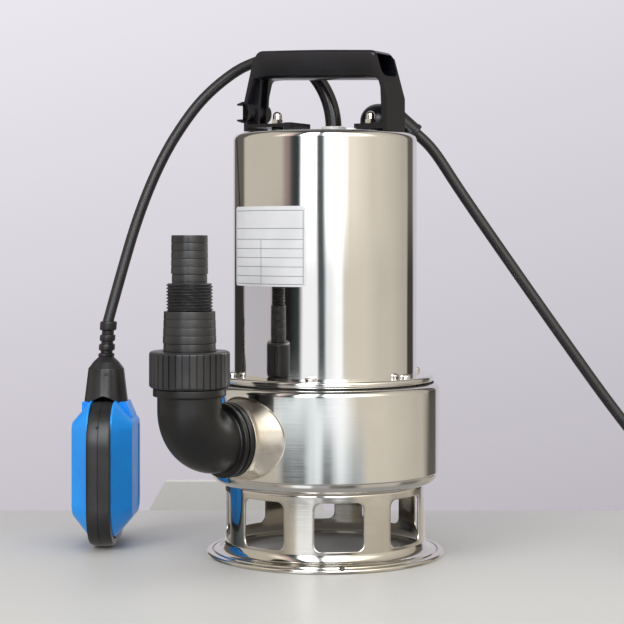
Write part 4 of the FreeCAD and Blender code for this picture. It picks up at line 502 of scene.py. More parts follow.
def strainer():
    """A pressed skirt: a wall with eight rounded windows between a rolled foot and an inner flange."""
    sector = 360 / WINDOW_COUNT
    along_steps, up_steps = 36, 20
    wall_low, wall_high = 11.4, 52.8
    inner = SKIRT_RADIUS - SKIRT_SHEET
    shape = bmesh.new()

    def band(profile):
        around = along_steps * WINDOW_COUNT
        first = WINDOW_TURN - sector / 2
        skin(shape, [[bearing_point(first + 360 * step / around, radius, height) for step in range(around)]
                     for radius, height in profile])

    band(rounded([(SKIRT_RADIUS, wall_low), (SKIRT_RADIUS, 4.2, 7.0), (84.6, 4.2, 0.5), (85.4, 2.8, 0.4),
                  (86.2, 3.6, 0.5), (FOOT_RADIUS, 3.6, 1.6), (FOOT_RADIUS, 0.0, 1.0), (83.6, 0.0, 0.5),
                  (83.6, 2.6, 0.5), (inner, 2.6, 8.4), (inner, wall_low)], steps=7))
    band(rounded([(SKIRT_RADIUS, wall_high), (SKIRT_RADIUS, BODY_LOW, 2.6), (56.0, BODY_LOW),
                  (56.0, BODY_LOW - SKIRT_SHEET), (inner, BODY_LOW - SKIRT_SHEET, 1.0), (inner, wall_high)]))

    # One sector's outline as (bearing, height), from its lower left corner
    edge = sector / 2
    corners = [(-edge, wall_low), (edge, wall_low), (edge, wall_high), (-edge, wall_high), (-edge, wall_low)]
    outer = []
    for start, end, steps in zip(corners, corners[1:], (along_steps, up_steps) * 2):
        for step in range(steps):
            outer.append([low + (high - low) * step / steps for low, high in zip(start, end)])

    # The window's outline, found along the same share of each side
    middle_up, half_up = (WINDOW_LOW + WINDOW_HIGH) / 2, (WINDOW_HIGH - WINDOW_LOW) / 2
    half = math.degrees(math.asin(WINDOW_WIDTH / 2 / SKIRT_RADIUS))
    corner = math.degrees(WINDOW_ROUND / SKIRT_RADIUS)
    near_across, near_up = half - corner, half_up - WINDOW_ROUND
    hole = []
    for bearing, height in outer:
        across = bearing / edge * half
        up = WINDOW_LOW + (height - wall_low) / (wall_high - wall_low) * (WINDOW_HIGH - WINDOW_LOW)
        over_across = max(abs(across) - near_across, 0) / corner
        over_up = max(abs(up - middle_up) - near_up, 0) / WINDOW_ROUND
        if over_across > 0 and over_up > 0:
            length = math.hypot(over_across, over_up)
            across = math.copysign(near_across + corner * over_across / length, across)
            up = middle_up + math.copysign(near_up + WINDOW_ROUND * over_up / length, up - middle_up)
        hole.append((across, up))

    # From the seam between windows to the window's edge, over its rounded lip and back inside
    course = [(share, SKIRT_RADIUS) for share in (0.0, 0.25, 0.5, 0.7, 0.84, 0.93)]
    course += [(0.97, SKIRT_RADIUS - 0.08), (1.0, SKIRT_RADIUS - 0.4), (1.0, inner + 0.4),
               (0.97, inner + 0.08)]
    course += [(share, inner) for share in (0.93, 0.7, 0.35, 0.0)]
    for index in range(WINDOW_COUNT):
        middle = WINDOW_TURN + sector * index
        skin(shape, [[bearing_point(middle + bearing + (across - bearing) * share, radius,
                                    height + (up - height) * share)
                      for (bearing, height), (across, up) in zip(outer, hole)] for share, radius in course])
    finish_piece("strainer_skirt", shape, FOOT_STEEL, "pump", ["strainer_base"], sharp=50)


strainer()


# Pump body with its neck

def volute():
    """A drawn cup with a rolled bottom edge and a broad shoulder."""
    floor_hole, inner, floor_top, shoulder = 42.1, 86.0, 57.9, 128.8
    profile = rounded([(floor_hole, BODY_LOW), (BODY_RADIUS - 1.2, BODY_LOW, 6.0),
                       (BODY_RADIUS - 1.2, 63.4, 0.4), (BODY_RADIUS, 64.2, 0.5),
                       (BODY_RADIUS, BODY_HIGH, 4.6), (68.0, BODY_HIGH), (68.0, shoulder),
                       (inner, shoulder, 2.6), (inner, floor_top, 7.0), (floor_hole, floor_top),
                       (floor_hole, BODY_LOW)], steps=8)
    finish_piece("volute_cup", lathe(profile, around=256), VOLUTE_STEEL, "pump", ["pump_body"], sharp=50)


def discharge_neck():
    """A tube set on the volute, flared into it by a dressed weld."""
    flare_around, flare_in_front, bead, sheet = 2.2, 7.6, 0.6, 2.0
    around, steps, root_reach = 160, 10, 81.0
    outwards = bearing_point(NECK_TURN, 1.0, 0.0)
    across = outwards.cross(UP)
    angles = angles_round(around)

    def on_tube(angle, radius, reach):
        sideways, rise = radius * math.cos(angle), radius * math.sin(angle)
        return outwards * reach + across * sideways + UP * (NECK_HEIGHT + rise)

    def on_cup(angle, beyond):
        radius = NECK_RADIUS + beyond
        reach = math.sqrt((BODY_RADIUS + 0.02) ** 2 - (radius * math.cos(angle)) ** 2)
        return on_tube(angle, radius, reach)

    def flare(angle):
        return flare_around + flare_in_front * max(0.0, -math.cos(angle)) ** 2

    rings = [[on_cup(angle, flare(angle) + 2 * bead) for angle in angles],
             [on_cup(angle, flare(angle) + bead) + outwards * bead * 0.6 for angle in angles]]
    for step in range(steps + 1):
        share = step / steps
        ring = []
        for angle in angles:
            foot, tube = on_cup(angle, flare(angle)), on_tube(angle, NECK_RADIUS, NECK_FACE - 2.5)
            bend = (foot + tube) * 0.42 + on_cup(angle, 0.0) * 0.16
            ring.append(foot * (1 - share) ** 2 + bend * 2 * share * (1 - share) + tube * share ** 2)
        rings.append(ring)
    for inset, reach in ((0.0, NECK_FACE - 1.2), (0.3, NECK_FACE - 0.3), (1.0, NECK_FACE), (sheet, NECK_FACE),
                         (sheet, root_reach)):
        rings.append([on_tube(angle, NECK_RADIUS - inset, reach) for angle in angles])
    shape = bmesh.new()
    skin(shape, rings)
    finish_piece("flared_neck", shape, NECK_STEEL, "pump", ["discharge_neck"], sharp=60)


def weld_spot():
    """The heat-tinted spot where the foot's roll was tacked."""
    spot = lathe(rounded([(0.0, 0.5), (1.5, 0.5, 0.5), (2.1, -0.4), (0.0, -0.4)]), around=32)
    bearing = 7.4
    spot.transform(aimed(bearing_point(bearing, FOOT_RADIUS - 0.6, 4.2), bearing_point(bearing, 1.0, 0.35)))
    piece = finish_piece("foot_weld_spot", spot, SCORCHED_STEEL, "pump")


volute()
discharge_neck()
weld_spot()


# Cover ring and casing

def cover():
    """The rolled edge of the cover, with a fine groove at its middle."""
    middle = (COVER_LOW + COVER_HIGH) / 2
    profile = rounded([(38.0, COVER_LOW), (COVER_RADIUS, COVER_LOW, 2.0), (COVER_RADIUS, middle - 0.3, 0.2),
                       (COVER_RADIUS - 0.4, middle, 0.2), (COVER_RADIUS, middle + 0.3, 0.2),
                       (COVER_RADIUS, COVER_HIGH, 2.0), (38.0, COVER_HIGH), (38.0, COVER_LOW)], steps=6)
    finish_piece("cover_ring", lathe(profile, around=256), VOLUTE_STEEL, "pump", ["pump_cover"], sharp=60)


def casing():
    """A deep-drawn cup with a soft corner round its top."""
    inner = CASING_RADIUS - 1.5
    profile = rounded([(0.0, CASING_HIGH), (CASING_RADIUS, CASING_HIGH, 5.5), (CASING_RADIUS, COVER_HIGH),
                       (inner, COVER_HIGH), (inner, CASING_HIGH - 1.5, 4.2), (0.0, CASING_HIGH - 1.5)],
                      steps=12)
    finish_piece("casing_shell", lathe(profile, around=288), CASING_STEEL, "pump", ["motor_casing"], sharp=60)


def pan_head_screws():
    """Pan heads with a cross recess, each turned its own way."""
    shape = bmesh.new()
    recess_turns = (12, 47, 80, 25, 64, 3)
    head_radius, head_height = 3.9, 2.9
    recess_long, recess_short, recess_deep = 4.6, 1.8, 2.6
    for index, turn in enumerate(recess_turns):
        head = lathe(rounded([(2.5, -13.0), (2.5, 0.0), (head_radius, 0.0), (head_radius, head_height, 1.7),
                              (0.0, head_height)], steps=6), around=48)
        cross = bmesh.new()
        for arm in ((recess_long, recess_short), (recess_short, recess_long)):
            bmesh.ops.create_cube(cross, size=1.0, matrix=turned_about_z(UP * head_height, turn)
                                  @ Matrix.Diagonal((*arm, recess_deep, 1)))
        made = cut(head, cross)
        bearing = COVER_SCREW_TURN + 360 / len(recess_turns) * index
        made.transform(Matrix.Translation(bearing_point(bearing, COVER_SCREW_CIRCLE, COVER_HIGH)))
        merge(shape, made)
    finish_piece("cover_pan_screws", shape, SCREW_STEEL, "pump", ["cover_screws"], sharp=40)


cover()
casing()
pan_head_screws()


# Handle, in its own frame over the casing's top

HANDLE_PLACE = turned_about_z(Vector((-1.299, 0.75, CASING_HIGH)), HANDLE_TURN)


def handle():
    """A hollow sloping grip on two thin legs, with ribs in its corners and a cable clip on the left leg."""
    half_depth, reach, inner, knee = 15.0, 62.5, 59.2, 25.5
    under_middle, top_middle, slope = 42.1, 63.2, -0.043
    outline = rounded([
        (35.0, 2.1), (inner, 2.1), (inner, 0.5), (reach, 0.5), (reach, knee), (52.4, 60.9, 7.0),
        (0.0, 63.9, 1800.0), (-52.4, 65.5, 7.0), (-reach, knee), (-reach, 3.4), (-inner, 3.4),
        (-inner, 6.0), (-26.5, 6.0), (-26.5, 2.7), (-20.2, 2.7), (-20.2, 9.2), (-26.5, 9.2),
        (-27.0, 8.7), (-inner, 8.7), (-inner, knee), (-54.4, 44.4, 4.0), (55.1, 39.8, 4.0),
        (inner, knee), (inner, 6.3), (35.0, 6.3)], closed=True)
    arch = prism(outline, -half_depth, half_depth)
    over = [Vector(spot) for spot in outline if spot[1] > 54.0]
    under_left, under_right = Vector((-54.4, 44.4)), Vector((55.1, 39.8))
    top_course = []
    for index, spot in enumerate(over):
        along = over[min(index + 1, len(over) - 1)] - over[max(index - 1, 0)]
        ends = index in (0, len(over) - 1)
        top_course.append((spot, Vector((-along.y, along.x)).normalized() * -1, 0.4 if ends else 3.0))
    low_course = []
    for share, rounding in ((0.04, 0.4), (0.08, 4.5), (0.13, 7.0), (0.5, 7.0), (0.87, 7.0), (0.92, 4.5),
                            (0.96, 0.4)):
        along = (under_right - under_left).normalized()
        low_course.append((under_left.lerp(under_right, share), Vector((along.y, -along.x)), rounding))
    for course in (top_course, low_course):
        for facing in (-1, 1):
            arch = cut(arch, edge_cutter(course, half_depth, facing))
    rim, open_reach = 2.3, 70.0
    rings = []
    for across in (-open_reach, open_reach):
        low = under_middle + slope * across + rim
        high = top_middle + slope * across - rim
        wide = half_depth - rim
        section = rounded([(-wide, low, 6.0), (wide, low, 6.0), (wide, high, 1.5), (-wide, high, 1.5)],
                          steps=7, closed=True)
        rings.append([Vector((across, *spot)) for spot in section])
    arch = cut(arch, bar(rings))
    groove = rounded([(-72.0, 12.9), (-58.5, 12.9, 5.0), (-58.5, 23.5, 5.0), (-72.0, 23.5)], closed=True)
    arch = cut(arch, prism(groove, -20.0, 20.0))
    clip = rounded([(-69.0, 11.6, 0.4), (-63.8, 9.9, 3.0), (-55.5, 9.9, 8.0), (-55.5, 26.5, 8.0),
                    (-63.8, 26.5, 3.0), (-69.0, 24.8, 0.4), (-68.6, 23.6, 0.3), (-58.5, 23.5, 5.2),
                    (-58.5, 12.9, 5.2), (-68.6, 12.8, 0.3)], steps=8, closed=True)
    merge(arch, prism(clip, -half_depth, half_depth))
    rib_half = 1.5
    for side, foot, under, corner in ((1, 5.3, 41.0, 55.1), (-1, 7.7, 45.6, 54.4)):
        rib = [(side * (inner + 1.6), foot), (side * (inner + 1.6), knee), (side * (corner + 1.6), under),
               (side * (corner - 2.3), under), (side * (inner - 4.6), foot)]
        for depth in (-6.0, 6.0):
            merge(arch, prism(rib, depth - rib_half, depth + rib_half))
    piece = finish_piece("carrying_handle", arch, BLACK_NYLON, "pump", ["handle"], sharp=32,
                         move=HANDLE_PLACE)
    soften(piece, 0.4)


def handle_fixings():
    """Cap nuts with chamfered hexagons, on a rubber washer at the right and a spacer at the left."""
    half_across, dome, high = 4.0, 3.6, 10.2
    profile = rounded([(2.8, 0.0), (4.2, 0.0), (4.7, 0.5), (4.7, 3.4), (4.0, 4.0), (dome, 4.0),
                       (dome, high, dome - 0.1), (0.0, high)], steps=9)

    def hexagon(angle, height):
        return half_across / math.cos(angle % (math.pi / 3) - math.pi / 6)

    nuts = bmesh.new()
    rings = bmesh.new()
    for across, seat, rise, outer in ((41.0, 6.3, 2.1, 6.5), (-41.0, 8.7, 6.0, 4.6)):
        nut = shaped_lathe(profile, hexagon, 96)
        nut.transform(Matrix.Translation((across, 0, seat)))
        merge(nuts, nut)
        ring = lathe(rounded([(2.8, 0.0), (outer, 0.0, 0.5), (outer, rise, 0.5), (2.8, rise), (2.8, 0.0)]),
                     around=64)
        ring.transform(Matrix.Translation((across, 0, 0)))
        merge(rings, ring)
    finish_piece("domed_cap_nuts", nuts, SCREW_STEEL, "pump", ["handle_cap_nuts"], sharp=30,
                 move=HANDLE_PLACE)
    finish_piece("foot_washers", rings, BLACK_RUBBER, "pump", ["handle_washers"], move=HANDLE_PLACE)


handle()
handle_fixings()


# Cable entries on the casing

def hood():
    """A dome with a foot ring, and a slanted nozzle that the mains cable leaves by."""
    dome = lathe(rounded([(0.0, 24.8), (16.5, 24.8, 13.5), (16.5, 2.9, 0.6), (17.3, 2.2, 0.3),
                          (18.0, 2.2, 0.8), (18.0, 0.0), (0.0, 0.0)], steps=12), around=128)
    nozzle = lathe(rounded([(0.0, -7.8), (7.8, -7.8, 7.6), (6.65, 20.6, 0.3), (7.2, 21.1, 0.3),
                            (7.2, 24.0, 0.8), (4.9, 24.0, 0.4), (4.9, 18.0), (0.0, 18.0)], steps=9),
                   around=96)
    fall, turn = math.radians(39), 8.3
    nozzle.transform(aimed(Vector((8.9, 0.0, 17.2)), (math.cos(fall), 0.0, -math.sin(fall))))
    merge(dome, nozzle)
    finish_piece("mains_cable_hood", dome, BLACK_NYLON, "pump", ["cable_hood"], sharp=40,
                 move=turned_about_z(Vector((44.0, 20.0, CASING_HIGH)), turn))


def gland():
    """The white ring that clamps the float's cable, and a small white stopper beside the right foot."""
    ring = lathe(rounded([(6.5, 0.0), (9.35, 0.0, 0.2), (9.35, 7.7, 1.0), (7.0, 7.7, 0.4), (6.5, 7.0),
                          (6.5, 0.0)]), around=96)
    finish_piece("white_gland_ring", ring, WHITE_NYLON, "pump", ["gland_collar"],
                 move=Matrix.Translation((7.0, 30.0, CASING_HIGH)))
    stopper = lathe(rounded([(0.0, 0.0), (4.1, 0.0), (4.1, 2.9, 0.6), (3.0, 2.9, 0.3), (2.7, 2.5, 0.3),
                             (0.0, 2.5)]), around=64)
    piece = finish_piece("top_stopper", stopper, WHITE_NYLON, "pump",
                         move=Matrix.Translation((19.0, -30.5, CASING_HIGH - 0.1)))


def sleeve():
    """A tapering bend protector, as smooth and glossy as its mould, that arches over to its tip."""
    heading, foot_radius, tip_radius, steps = 160.5, 6.45, 4.9, 20
    ahead = bearing_point(heading + 90, 1.0, 0.0)
    course = [(Vector((7.0, 30.0, CASING_HIGH + rise)), UP) for rise in (0.5, 3.0, 6.0)]
    turned = 0.0
    for bend, degrees in ((64.0, 45.0), (42.5, 61.0)):
        start = course[-1][0]
        for step in range(1, steps + 1):
            angle = turned + math.radians(degrees) * step / steps
            spot = start + ahead * bend * (math.cos(turned) - math.cos(angle)) + UP * bend * (
                math.sin(angle) - math.sin(turned))
            course.append((spot, ahead * math.sin(angle) + UP * math.cos(angle)))
        turned += math.radians(degrees)
    tip, way = course[-1]
    last = len(course) - 1
    stations = [(spot, facing, foot_radius + (tip_radius - foot_radius) * index / last)
                for index, (spot, facing) in enumerate(course)]
    stations[-1] = (tip - way * 0.4, way, tip_radius)
    stations += [(tip - way * 0.1, way, tip_radius - 0.15), (tip, way, tip_radius - 0.4),
                 (tip - way * 0.3, way, CABLE_RADIUS - 0.1)]
    finish_piece("cable_bend_protector", swept(stations, ahead.cross(UP), 64), GLOSSY_RUBBER, "pump",
                 ["float_cable_sleeve"], sharp=60)


hood()
gland()
sleeve()


# Discharge fitting

def elbow():
    """A smooth moulded bend with two ridges at the neck and a ring under the nut."""
    outwards = bearing_point(NECK_TURN, 1.0, 0.0)
    face, bend, spigot_top, outer, bore = 99.0, 24.0, 150.0, 22.95, 20.0
    bend_start = FITTING_REACH - bend
    straight = bend_start - face
    arc = bend * math.pi / 2

    def station(distance, radius):
        if distance <= straight:
            return outwards * (face + distance) + UP * NECK_HEIGHT, outwards, radius
        if distance <= straight + arc:
            angle = (distance - straight) / bend
            spot = outwards * (bend_start + bend * math.sin(angle)) + UP * (
                NECK_HEIGHT + bend * (1 - math.cos(angle)))
            return spot, outwards * math.cos(angle) + UP * math.sin(angle), radius
        rise = NECK_HEIGHT + bend + distance - straight - arc
        return outwards * FITTING_REACH + UP * rise, UP, radius

    ring_low = straight + arc + 128.5 - NECK_HEIGHT - bend
    ring_high = ring_low + 5.7
    end = straight + arc + spigot_top - NECK_HEIGHT - bend
    ridge, groove = 27.2, 25.6
    course = [(0.0, bore), (0.0, ridge - 0.8), (0.2, ridge - 0.2), (0.6, ridge), (3.0, ridge),
              (3.4, ridge - 0.2), (3.6, ridge - 0.7), (3.7, groove), (4.9, groove), (5.0, ridge - 0.7),
              (5.2, ridge - 0.2), (5.6, ridge), (8.0, ridge), (8.4, ridge - 0.2), (8.6, ridge - 0.8),
              (8.7, outer + 0.9), (9.0, outer + 0.3), (9.6, outer)]
    steps = 24
    course += [(straight + arc * step / steps, outer) for step in range(steps + 1)]
    course += [(ring_low - 1.0, outer), (ring_low - 0.3, outer + 0.2), (ring_low, outer + 0.8),
               (ring_low, 25.2), (ring_low + 0.3, 25.8), (ring_low + 0.8, 26.0), (ring_high - 0.8, 26.0),
               (ring_high - 0.3, 25.8), (ring_high, 25.2), (ring_high, outer), (end, outer), (end, bore)]
    course += [(straight + arc * (steps - step) / steps, bore) for step in range(steps + 1)]
    course.append((0.0, bore))
    shape = swept([station(*spot) for spot in course], outwards.cross(UP), 128)
    finish_piece("discharge_elbow", shape, ELBOW_ABS, "pump", ["elbow"], sharp=50)


def union_nut():
    """A ring of broad upright ribs with narrow grooves between them, chamfered round both ends."""
    ribs, first_rib, outer, root, bottom, top = 36, 4.0, 28.7, 27.8, 134.5, 160.5
    low_bore, high_bore, lip = 23.25, 19.5, 155.3
    profile = [(low_bore, lip), (low_bore, bottom), (outer - 1.9, bottom), (outer - 1.2, bottom + 0.3),
               (outer, bottom + 1.6), (outer, top - 1.9), (outer - 0.35, top - 1.0),
               (outer - 1.0, top - 0.35), (outer - 1.9, top), (20.4, top), (high_bore, top - 0.7),
               (high_bore, lip), (low_bore, lip)]
    groove_share, slope_share = 0.1, 0.05

    def ribbed(angle, height):
        share = abs((angle * ribs / (2 * math.pi)) % 1.0 - 0.5)
        rise = min(max((0.5 - share - groove_share / 2) / slope_share, 0.0), 1.0)
        return root + (outer - root) * (rise * rise * (3 - 2 * rise))

    shape = shaped_lathe(profile, ribbed, ribs * 20)
    finish_piece("ribbed_union_nut", shape, BLACK_ABS, "nut", ["union_nut"], sharp=28,
                 move=turned_about_z(bearing_point(NECK_TURN, FITTING_REACH, 0.0), first_rib))


def barb_steps(bottom, top, radius, count, taper):
    """Points up a stack of shallow steps, each widest at its bottom, over a narrower first one."""
    rise = (top - bottom) / count
    points = []
    for step in range(count):
        widest = radius - step * taper - (0.55 if step == 0 else 0.0)
        low = bottom + step * rise
        points += [(widest - 0.35, low), (widest - 0.08, low + 0.15), (widest, low + 0.45),
                   (widest - 0.1, low + rise - 0.6), (widest - 0.45, low + rise - 0.05)]
    return points


def hose_tail():
    """A stepped tail: a wide barbed length, a pipe thread cut on a helix, and a narrow barbed length."""
    thread_low, thread_high, crest, depth, pitch = 188.8, 208.5, 16.62, 1.3, 2.309
    foot, flange, flange_top, nut_top, narrow_low, barb_top = 151.0, 22.6, 155.0, 160.5, 209.7, 242.7
    low_bore, mouth, rows, around = 14.0, 10.0, 96, 160
    profile = [(low_bore, foot), (flange, foot), (flange, flange_top), (18.6, flange_top)]
    profile += barb_steps(nut_top, thread_low, 19.2, 5, 0.2)
    profile.append((crest - depth - 0.1, thread_low))
    profile += [(crest + 1.0, thread_low + 0.1 + (thread_high - thread_low - 0.2) * row / rows)
                for row in range(rows + 1)]
    profile += [(crest - depth - 0.1, thread_high), (12.5, thread_high), (12.5, narrow_low)]
    profile += barb_steps(narrow_low, barb_top, 13.2, 6, 0.04)
    profile += [(12.2, barb_top), (mouth + 0.5, barb_top), (mouth, barb_top - 0.5), (mouth, 185.0),
                (low_bore, 181.0), (low_bore, foot)]

    def threaded(angle, height):
        if not thread_low < height < thread_high:
            return math.inf
        turn = ((height - thread_low) / pitch - angle / (2 * math.pi)) % 1.0
        rise = 1.0 - abs(turn - 0.5) * 2
        cut_depth = depth * (1 - min(max((rise - 0.12) / 0.76, 0.0), 1.0))
        end = min(height - thread_low, thread_high - height)
        return crest - max(cut_depth, (1.0 - end) * 1.2 if end < 1.0 else 0.0)

    shape = shaped_lathe(profile, threaded, around)
    finish_piece("stepped_hose_tail", shape, BLACK_ABS, "pump", ["hose_tail"], sharp=40,
                 move=Matrix.Translation(bearing_point(NECK_TURN, FITTING_REACH, 0.0)))


elbow()
union_nut()
hose_tail()


# Float switch, in its own frame below the pivot

FLOAT_PLACE = turned_about_z(Vector(PIVOT), FLOAT_TURN)
FLOAT_WIDTH = 90.0
FLOAT_TOP = -50.6
FLOAT_BOTTOM = -167.0
BAND_TOP = -56.3
BAND_BOTTOM = -168.6
BAND_HALF = 9.2


def float_ring(inset, offset, low=FLOAT_BOTTOM, high=FLOAT_TOP, high_round=28.0):
    """The float's rounded side outline, drawn in by an inset and moved sideways."""
    half, low_round = FLOAT_WIDTH / 2 - inset, 32.0
    outline = rounded([(-half, low + inset, low_round - inset), (half, low + inset, low_round - inset),
                       (half, high - inset, high_round - inset), (-half, high - inset, high_round - inset)],
                      steps=14, closed=True)
    return [Vector((offset, *spot)) for spot in outline]


def float_band():
    """A crowned black band with a fine parting line round its middle and a nib at its top."""
    side = [(5.6, BAND_HALF), (2.0, BAND_HALF), (1.3, BAND_HALF - 0.2), (0.9, BAND_HALF - 0.9),
            (0.5, BAND_HALF - 2.6), (0.1, BAND_HALF - 6.0), (0.0, 0.35), (0.3, 0.1)]
    course = [(inset, -offset) for inset, offset in side] + side[::-1]
    shape = bmesh.new()
    skin(shape, [float_ring(inset, offset, BAND_BOTTOM, BAND_TOP, 33.0) for inset, offset in course],
         closed=True)
    nib = lathe(rounded([(0.0, 0.9), (0.9, 0.9, 0.4), (1.0, -0.6), (0.0, -0.6)]), around=24)
    nib.transform(aimed(Vector((-1.2, -41.9, -73.4)), (0.0, -0.87, 0.49)))
    merge(shape, nib)
    finish_piece("float_middle_band", shape, FLOAT_BLACK, "float", ["float_band"], sharp=35, move=FLOAT_PLACE)


def float_shell(side, name, node):
    """A bevelled shell: a lip by the band, four slopes with soft edges and a panel sunk in its flat face."""
    course = [(7.6, BAND_HALF - 0.6), (5.7, BAND_HALF - 0.6), (5.4, BAND_HALF - 0.2), (5.4, BAND_HALF + 0.6),
              (5.8, BAND_HALF + 1.1), (20.9, 23.0), (21.6, 23.45), (22.6, 23.65), (25.4, 23.7), (25.7, 23.6),
              (26.0, 23.0), (26.4, 22.9), (27.4, 22.9)]
    shape = bmesh.new()
    made = skin(shape, [float_ring(inset, side * offset) for inset, offset in course])
    shape.faces.new(made[-1])
    # A block that carries the boot's skirt
    half, near, top = 11.5, BAND_HALF + 0.1, -57.0
    reach, foot = (22.4, -68.6) if side > 0 else (17.4, -66.0)
    shoulder = rounded([(side * near, top), (side * 17.4, top, 0.8), (side * reach, foot, 0.8),
                        (side * 16.0, -74.0), (side * near, -74.0)], closed=True)
    merge(shape, prism(shoulder, -half, half))
    finish_piece(name, shape, FLOAT_BLUE, "float", [node], sharp=35, move=FLOAT_PLACE)


def float_boot():
    """A soft boot: four collars round the cable, a cone, and a skirt notched over the band."""
    around = 288
    collars = [(4.4, 5.4), (5.7, 5.4), (6.4, 4.9), (6.6, 4.2), (6.6, -0.6), (6.3, -1.3), (5.4, -1.7),
               (4.7, -2.1), (4.7, -4.9), (5.5, -5.2), (6.1, -5.8), (6.1, -9.4), (5.6, -10.0), (4.7, -10.4),
               (4.7, -12.0), (5.6, -12.4), (6.3, -13.0), (6.3, -16.8), (5.7, -17.4), (4.7, -17.8),
               (4.7, -19.4), (5.7, -19.7), (6.3, -20.2), (6.3, -21.9), (5.9, -22.4)]
    profile = [Vector(spot) for spot in collars]
    profile += rounded([(6.3, -22.8), (9.9, -26.2, 4.0), (14.0, -31.6, 1.4), (15.0, -40.0), (16.2, -50.0),
                        (17.1, -57.3, 0.7), (15.7, -57.3, 0.5), (14.2, -44.0)], steps=6)
    notch_half, notch_rise, notch_from, notch_to = 10.4, 4.9, -47.0, FLOAT_TOP - 6.7
    seam_across, seam_half, seam_rise, seam_low, seam_high = -2.2, 0.5, 0.22, -56.0, -31.5
    collars_low, lean = -22.8, 1.9 / 28.0
    shape = bmesh.new()
    rings = []
    for radius, height in profile:
        ring = []
        for angle in angles_round(around):
            across = radius * math.sin(angle)
            in_front = math.cos(angle) > 0
            wall, level = radius, height
            seam = 1 - abs(across - seam_across) / seam_half
            if in_front and seam > 0 and seam_low < height < seam_high:
                wall += seam_rise * seam
            if in_front and height < notch_from and abs(across) < notch_half:
                share = (height - notch_from) / (notch_to - notch_from)
                level += notch_rise * min(share, 1.0) * (1 - (abs(across) / notch_half) ** 1.3)
            shift = max(height - collars_low, 0.0) * lean
            ring.append(Vector((wall * math.sin(angle) + shift, -wall * math.cos(angle), level)))
        rings.append(ring)
    skin(shape, rings)
    gate = lathe(rounded([(0.0, 0.25), (0.5, 0.25), (0.7, 0.55, 0.1), (1.3, 0.55, 0.3), (1.5, 0.0),
                          (1.5, -0.6), (0.0, -0.6)]), around=32)
    gate.transform(aimed(Vector((1.9, -14.15, -35.2)), (0.1, -0.98, 0.12)))
    merge(shape, gate)
    finish_piece("float_cable_boot", shape, BOOT_RUBBER, "float", ["float_boot"], sharp=50, move=FLOAT_PLACE)


float_band()
float_shell(-1, "left_float_shell", "float_shell_left")
float_shell(1, "right_float_shell", "float_shell_right")
float_boot()


# Rating plate

def plate():
    """A thin film plate with rounded corners, left blank."""
    radius, thickness, corner = CASING_RADIUS + 0.1, 0.3, 3.0
    span = math.radians(PLATE_RIGHT - PLATE_LEFT) * radius
    steps, corner_steps = 48, 8
    places = [corner * (1 - math.cos(math.pi / 2 * step / corner_steps)) for step in range(corner_steps)]
    places += [corner + (span - 2 * corner) * step / steps for step in range(steps + 1)]
    places += [span - place for place in reversed(places[:corner_steps])]
    rings = []
    for place in places:
        end = min(place, span - place)
        short = corner - math.sqrt(max(corner ** 2 - (corner - end) ** 2, 0.0)) if end < corner else 0.0
        short = min(short, corner - 0.05)
        bearing = PLATE_LEFT + math.degrees(place / radius)
        low, high = PLATE_LOW + short, PLATE_HIGH - short
        rings.append([bearing_point(bearing, radius + lift, height)
                      for lift, height in ((thickness, low), (thickness, high), (0.0, high), (0.0, low))])
    finish_piece("rating_plate", bar(rings), LABEL_FILM, "pump", ["rating_label"], sharp=40)


def plate_rulings():
    """Fine printed lines: a frame, six rows and one column."""
    radius, half = CASING_RADIUS + 0.4, 0.17
    left, right, low, high = PLATE_LEFT + 1.4, PLATE_RIGHT - 1.4, PLATE_LOW + 1.8, PLATE_HIGH - 3.2
    divider, first_row = -42.3, 239.7
    shape = bmesh.new()

    def strip(left_end, right_end, bottom, top):
        steps = max(int((right_end - left_end) / 1.5), 1)
        rings = []
        for step in range(steps + 1):
            bearing = left_end + (right_end - left_end) * step / steps
            rings.append([bearing_point(bearing, radius + lift, height)
                          for lift, height in ((0.03, bottom), (0.03, top), (-0.1, top), (-0.1, bottom))])
        bar(rings, shape)

    for row in (low, 212.7, 219.5, 226.2, 232.8, first_row, 247.6, high):
        strip(left, right, row - half, row + half)
    width = math.degrees(half / radius)
    for column, top in ((left, high), (divider, first_row), (right, high)):
        strip(column - width, column + width, low, top)
    piece = finish_piece("plate_rulings", shape, LABEL_INK, "pump")


plate()
plate_rulings()


# Cords, along the routes of the solid model

FLOAT_CABLE = [
    (-57.5, 52.9, 379.9), (-71.3, 57.0, 373.8), (-92.0, 59.5, 357.7), (-108.4, 58.8, 338.8),
    (-128.7, 55.2, 306.4), (-147.3, 49.3, 261.1), (-161.9, 42.2, 208.9), (-171.4, 36.2, 171.4),
]
SLEEVE_TIP = (-50.04, 50.2, 382.06)
MAINS_START = (71.3, 24.0, 322.1)
MAINS_CABLE = [
    (78.5, 25.0, 316.2), (88.1, 26.0, 305.0), (104.6, 27.0, 279.1), (139.0, 28.3, 229.4),
    (184.0, 29.2, 165.4), (221.6, 29.8, 112.6), (254.0, 30.3, 71.3), (287.0, 30.8, 45.4),
    (323.0, 31.0, 33.7), (355.0, 31.0, 33.7),
]
PLUG_LEAD = [
    (391.0, 35.2, 6.0), (415.0, 33.5, 8.6), (441.0, 30.2, 13.6), (464.0, 25.5, 18.5),
    (482.0, 20.6, 18.5),
]


